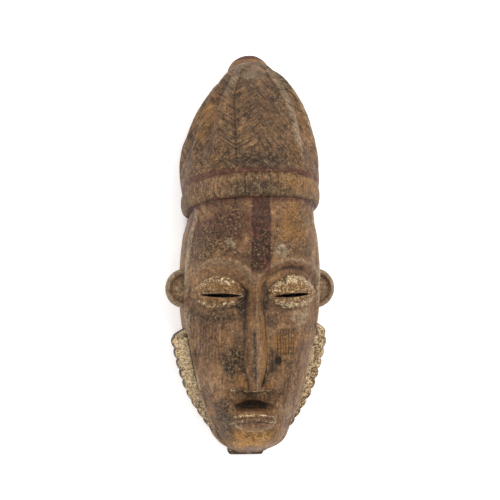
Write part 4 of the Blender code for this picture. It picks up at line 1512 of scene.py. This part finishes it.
        return {
            "band": banded, "beard": beard, "ear": ear, "bun": bun, "lids": lids,
            "stripe": stripe, "sooty stripe": stripe * ramp(y, 0.040, 0.056), "hair": hair, "crown": crown,
            "crests": crown * head, "walls": wall, "front walls": wall * (level > -0.5),
            "edges": face.rubbed_and_lit_edge(skin.angle, points, band) * head * rubbed, "brow highlights": arch,
            "painted lids": lids
            * (np.where(x < 0, 0.20, 0.38) + 0.36 * hump(across - 0.80, 0.30) * (along < 1)),
            "lit slit walls": lit_slit_wall * (0.30 + 0.40 * upper_left),
            "beard face": np.where(x < 0, 1.0, 0.66) * beard * ramp(level, -0.965, -0.93)
            * ramp(inside_edge, 0.0004, 0.0018),
            "beard edge": beard * ramp(inside_edge, 0.0018, 0.0004),
            "lip ledge": hump(y - self.lip_ledge_y + 0.1 * wander_y, 0.0015)
            * ramp(np.abs(x + 0.0016), 0.026, 0.020) * front,
            "lip edges": np.maximum(hump(lip - edges[0], 0.0018), hump(lip - edges[1], 0.0014)) * on_lips,
            "lip lines": np.maximum(hump(lip - lines[0], 0.0012), hump(lip - lines[1], 0.0014)) * on_lips,
            "lip rim": face.lower_lip_rim(x, y + 0.1 * wander_y) * front,
            "chin rim": hump(y - self.chin_rim_y + 0.1 * wander_y, 0.0034)
            * ramp(np.abs(x), 0.024, 0.015) * head,
            # Painted highlight on the ledge's top and painted shade at its foot
            "lit ledge top": ledge * ramp(y, -0.1845, -0.1815), "shaded ledge foot": ledge * ramp(y, -0.1820, -0.1850),
            # Painted shade along the nose's sides and beside its ridge
            "nose shade lines": face.nose_shade_lines(x, y) * raised,
            "band lines": (head | banded) * np.maximum(
                hump(off_drift - half - 0.0004, 0.0056), hump(off_drift + half + 0.0002, 0.0048)
            ),
            "bun top": bun * ramp(skin.normals[:, 1], 0.62, 0.80),
            # The band's upper right is lighter ochre as painted highlight, and its lower middle darker as
            # dark paint and painted shade
            "ochre and lit band right": banded * ramp(x, 0.000, 0.028) * ramp(off, -0.009, -0.003),
            "dark and shaded band middle": banded * ramp(np.abs(x + 0.004), 0.036, 0.014) * ramp(off, 0.007, -0.004),
            # Painted shade darkens the hair's left side; its middle is darker in colour
            "shaded hair left": hair * ramp(x, 0.050, 0.010), "hair middle": hair * ramp(np.abs(x), 0.046, 0.028),
            "hair foot": hair * ramp(y, 0.115, 0.085),
            "ear rim": ear * (0.62 + 0.30 * ramp(reach, 0.80, 0.92)),
            "ear groove": ear * hump(reach - 0.68, 0.12),
        }

    def paint_fields(self, skin: Skin, areas: dict[str, Array]) -> dict[str, Array]:
        """Where paint, bloom, soot, crust, painted highlights and painted shade lie.

        Args:
            skin: the carved surface.
            areas: how much each area lies at each place.

        Returns:
            The layers of STRENGTHS, from 0 to about 1 for each place.
        """
        places = skin.points + skin.drift
        bare = {
            "ochre": ~areas["beard"], "grey": ~areas["beard"] * (1 - areas["brow highlights"]),
            "dark": ~areas["beard"] * ~areas["ear"], "crust": ~areas["beard"],
        }
        layers = {}
        for name, strengths in STRENGTHS.items():
            parts = [strength * areas[area] for area, strength in strengths.items()]
            soft = getattr(self, name, ())
            if soft:
                parts.append(np.max([patch.on(places) for patch in soft], axis=0) * bare.get(name, 1))
            layers[name] = np.maximum.reduce(parts)
        layers["dark"] *= 1 - 0.8 * areas["brow highlights"]
        layers["crust"] *= (1 - 0.9 * areas["brow highlights"]) * (1 - 0.7 * np.clip(areas["crown"], 0, 1))
        layers["crust"] -= 0.6 * areas["beard"]
        return layers

    def relief_fields(self, mesh: Mesh, skin: Skin, areas: dict[str, Array]) -> dict[str, Array]:
        """Where dirt and painted shade darken the hollows, and where hands rub.

        Args:
            mesh: the carved mesh.
            skin: its surface.
            areas: how much each area lies at each place.

        Returns:
            The layers dirt_and_shade and wear, from 0 to about 1 for each place.
        """
        near, far = self.bent(mesh, skin, 6), self.bent(mesh, skin, 60)
        chin_foot = 0.85 * (skin.label == Form.HEAD) * ramp(skin.y, -0.168, -0.175)
        calm = 1 - np.maximum.reduce([
            0.75 * areas["lids"], 0.65 * areas["ear"], 0.75 * areas["brow highlights"] * (skin.x < 0), chin_foot,
        ])
        knot = 1.4 * ramp(np.hypot(skin.x - self.knot[0], skin.y - self.knot[1]), 0.0044, 0.0026)
        # Darker in the hollows, as dirt and painted shade, less on the lids, the ears, the left brow and the
        # chin's foot
        hollows = (np.clip(near / 0.00040, 0, 1) * 0.45 + np.clip(far / 0.0024, 0, 1) * 0.70) * calm
        # Painted shade in the recess under the nose
        mouth = Patch(-2.8, -137.2, 13.5, 3.3, 2.2).on(skin.points)
        soot = 0.75 * areas["sooty stripe"]
        return {
            "dirt_and_shade": np.maximum.reduce([hollows, knot * (skin.z > 0.04), mouth, soot]),
            "wear": np.clip(-near / 0.00045, 0, 1) * 0.4 + np.clip(-far / 0.0036, 0, 1) * 0.35,
        }

    def dressed(self, carved: Object) -> Object:
        """Gives the carved mesh its layers, its two finishes and its smooth shading."""
        mesh = carved.data
        points = coordinates(mesh)
        skin = Skin(points, outward(mesh), self.head.angle_at(points), self.form_of(mesh), self.head)
        areas = self.areas(skin)
        layers = self.stroke_fields(skin) | self.paint_fields(skin, areas)
        layers |= self.relief_fields(mesh, skin, areas)
        for name, values in layers.items():
            kind, key = ("FLOAT_VECTOR", "vector") if values.ndim == 2 else ("FLOAT", "value")
            layer = mesh.attributes.new(name, kind, "POINT")
            layer.data.foreach_set(key, values.astype(np.float32).ravel())
        face_label = np.zeros(len(mesh.polygons), np.int32)
        mesh.polygons.foreach_get("material_index", face_label)
        mesh.materials.clear()
        for finish in (PaintedWood(), AdzedWood()):
            mesh.materials.append(finish.build())
        mesh.polygons.foreach_set("material_index", (face_label == Form.INSIDE).astype(np.int32))
        mesh.shade_smooth()
        mesh.set_sharp_from_angle(angle=math.radians(50))
        carved.name = mesh.name = "mask_carving"
        return carved

    def build(self) -> Object:
        """The finished mask."""
        made = self.dressed(self.joined())
        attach(made, "root")
        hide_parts("mask")
        made.data.calc_loop_triangles()
        counts = len(made.data.vertices), len(made.data.loop_triangles)
        log.info("%s: %d vertices, %d triangles", made.name, *counts)
        return made


@dataclass
class Studio:
    """A white floor that glows away from the mask, soft light and a camera above the mask's face, turned a
    little to its left.
    """

    turn: float = 7.5
    distance: float = 1.313
    target: Triple = (0.0, 0.00475, 0.03)
    lens: float = 100.0
    floor_size: float = 6.0
    lamp_target: Triple = (0.0, 0.0, 0.05)
    lamps: tuple[tuple[str, Triple, float, float, str], ...] = (
        ("key", (0.50, 0.65, 1.30), 10.0, 0.70, "#fff8f0"), ("fill", (-0.9, -0.1, 0.9), 1.5, 0.9, "#f6f8ff"),
    )

    def floor(self) -> Object:
        """The pale floor that the mask lies on, glowing away from the mask."""
        bm = bmesh.new()
        bmesh.ops.create_grid(bm, x_segments=1, y_segments=1, size=self.floor_size / 2)
        made = bpy.data.objects.new("floor", shaped(bm, "floor"))
        bpy.context.scene.collection.objects.link(made)
        made.data.materials.append(GlowingFloor().build())
        return made

    def light(self, name: str, place: Triple, power: float, size: float, colour: str) -> None:
        """One soft lamp that faces the mask."""
        lamp = bpy.data.lights.new(name, "AREA")
        lamp.energy, lamp.size, lamp.color = power, size, linear(colour)[:3]
        made = bpy.data.objects.new(name, lamp)
        made.location = place
        made.rotation_euler = (Vector(self.lamp_target) - Vector(place)).to_track_quat("-Z", "Y").to_euler()
        bpy.context.scene.collection.objects.link(made)

    def camera(self) -> None:
        """The camera at the photograph's angle."""
        turn = math.radians(self.turn)
        back = Vector((-math.sin(turn), 0, math.cos(turn)))
        right = Vector((math.cos(turn), 0, math.sin(turn)))
        made = bpy.data.objects.new("camera", bpy.data.cameras.new("camera"))
        made.data.lens = self.lens
        axes = Matrix(((right.x, 0, back.x), (0, 1, 0), (right.z, 0, back.z))).to_4x4()
        made.matrix_world = Matrix.Translation(Vector(self.target) + back * self.distance) @ axes
        bpy.context.scene.collection.objects.link(made)
        bpy.context.scene.camera = made

    def build(self) -> None:
        """Sets up the floor, the light and the camera."""
        scene = bpy.context.scene
        scene.world = bpy.data.worlds.new("studio")
        scene.world.use_nodes = True
        sky = scene.world.node_tree.nodes["Background"]
        sky.inputs["Color"].default_value = linear("#ffffff")
        sky.inputs["Strength"].default_value = 1.0
        scene.view_settings.view_transform = "Standard"
        self.floor()
        for lamp in self.lamps:
            self.light(*lamp)
        self.camera()
        log.info("studio: floor, %d lamps, camera", len(self.lamps))


def main() -> None:
    """Builds the mask and the studio."""
    logging.basicConfig(level=logging.INFO, format="%(name)s: %(message)s")
    Carving().build()
    Studio().build()


if __name__ == "__main__":
    main()
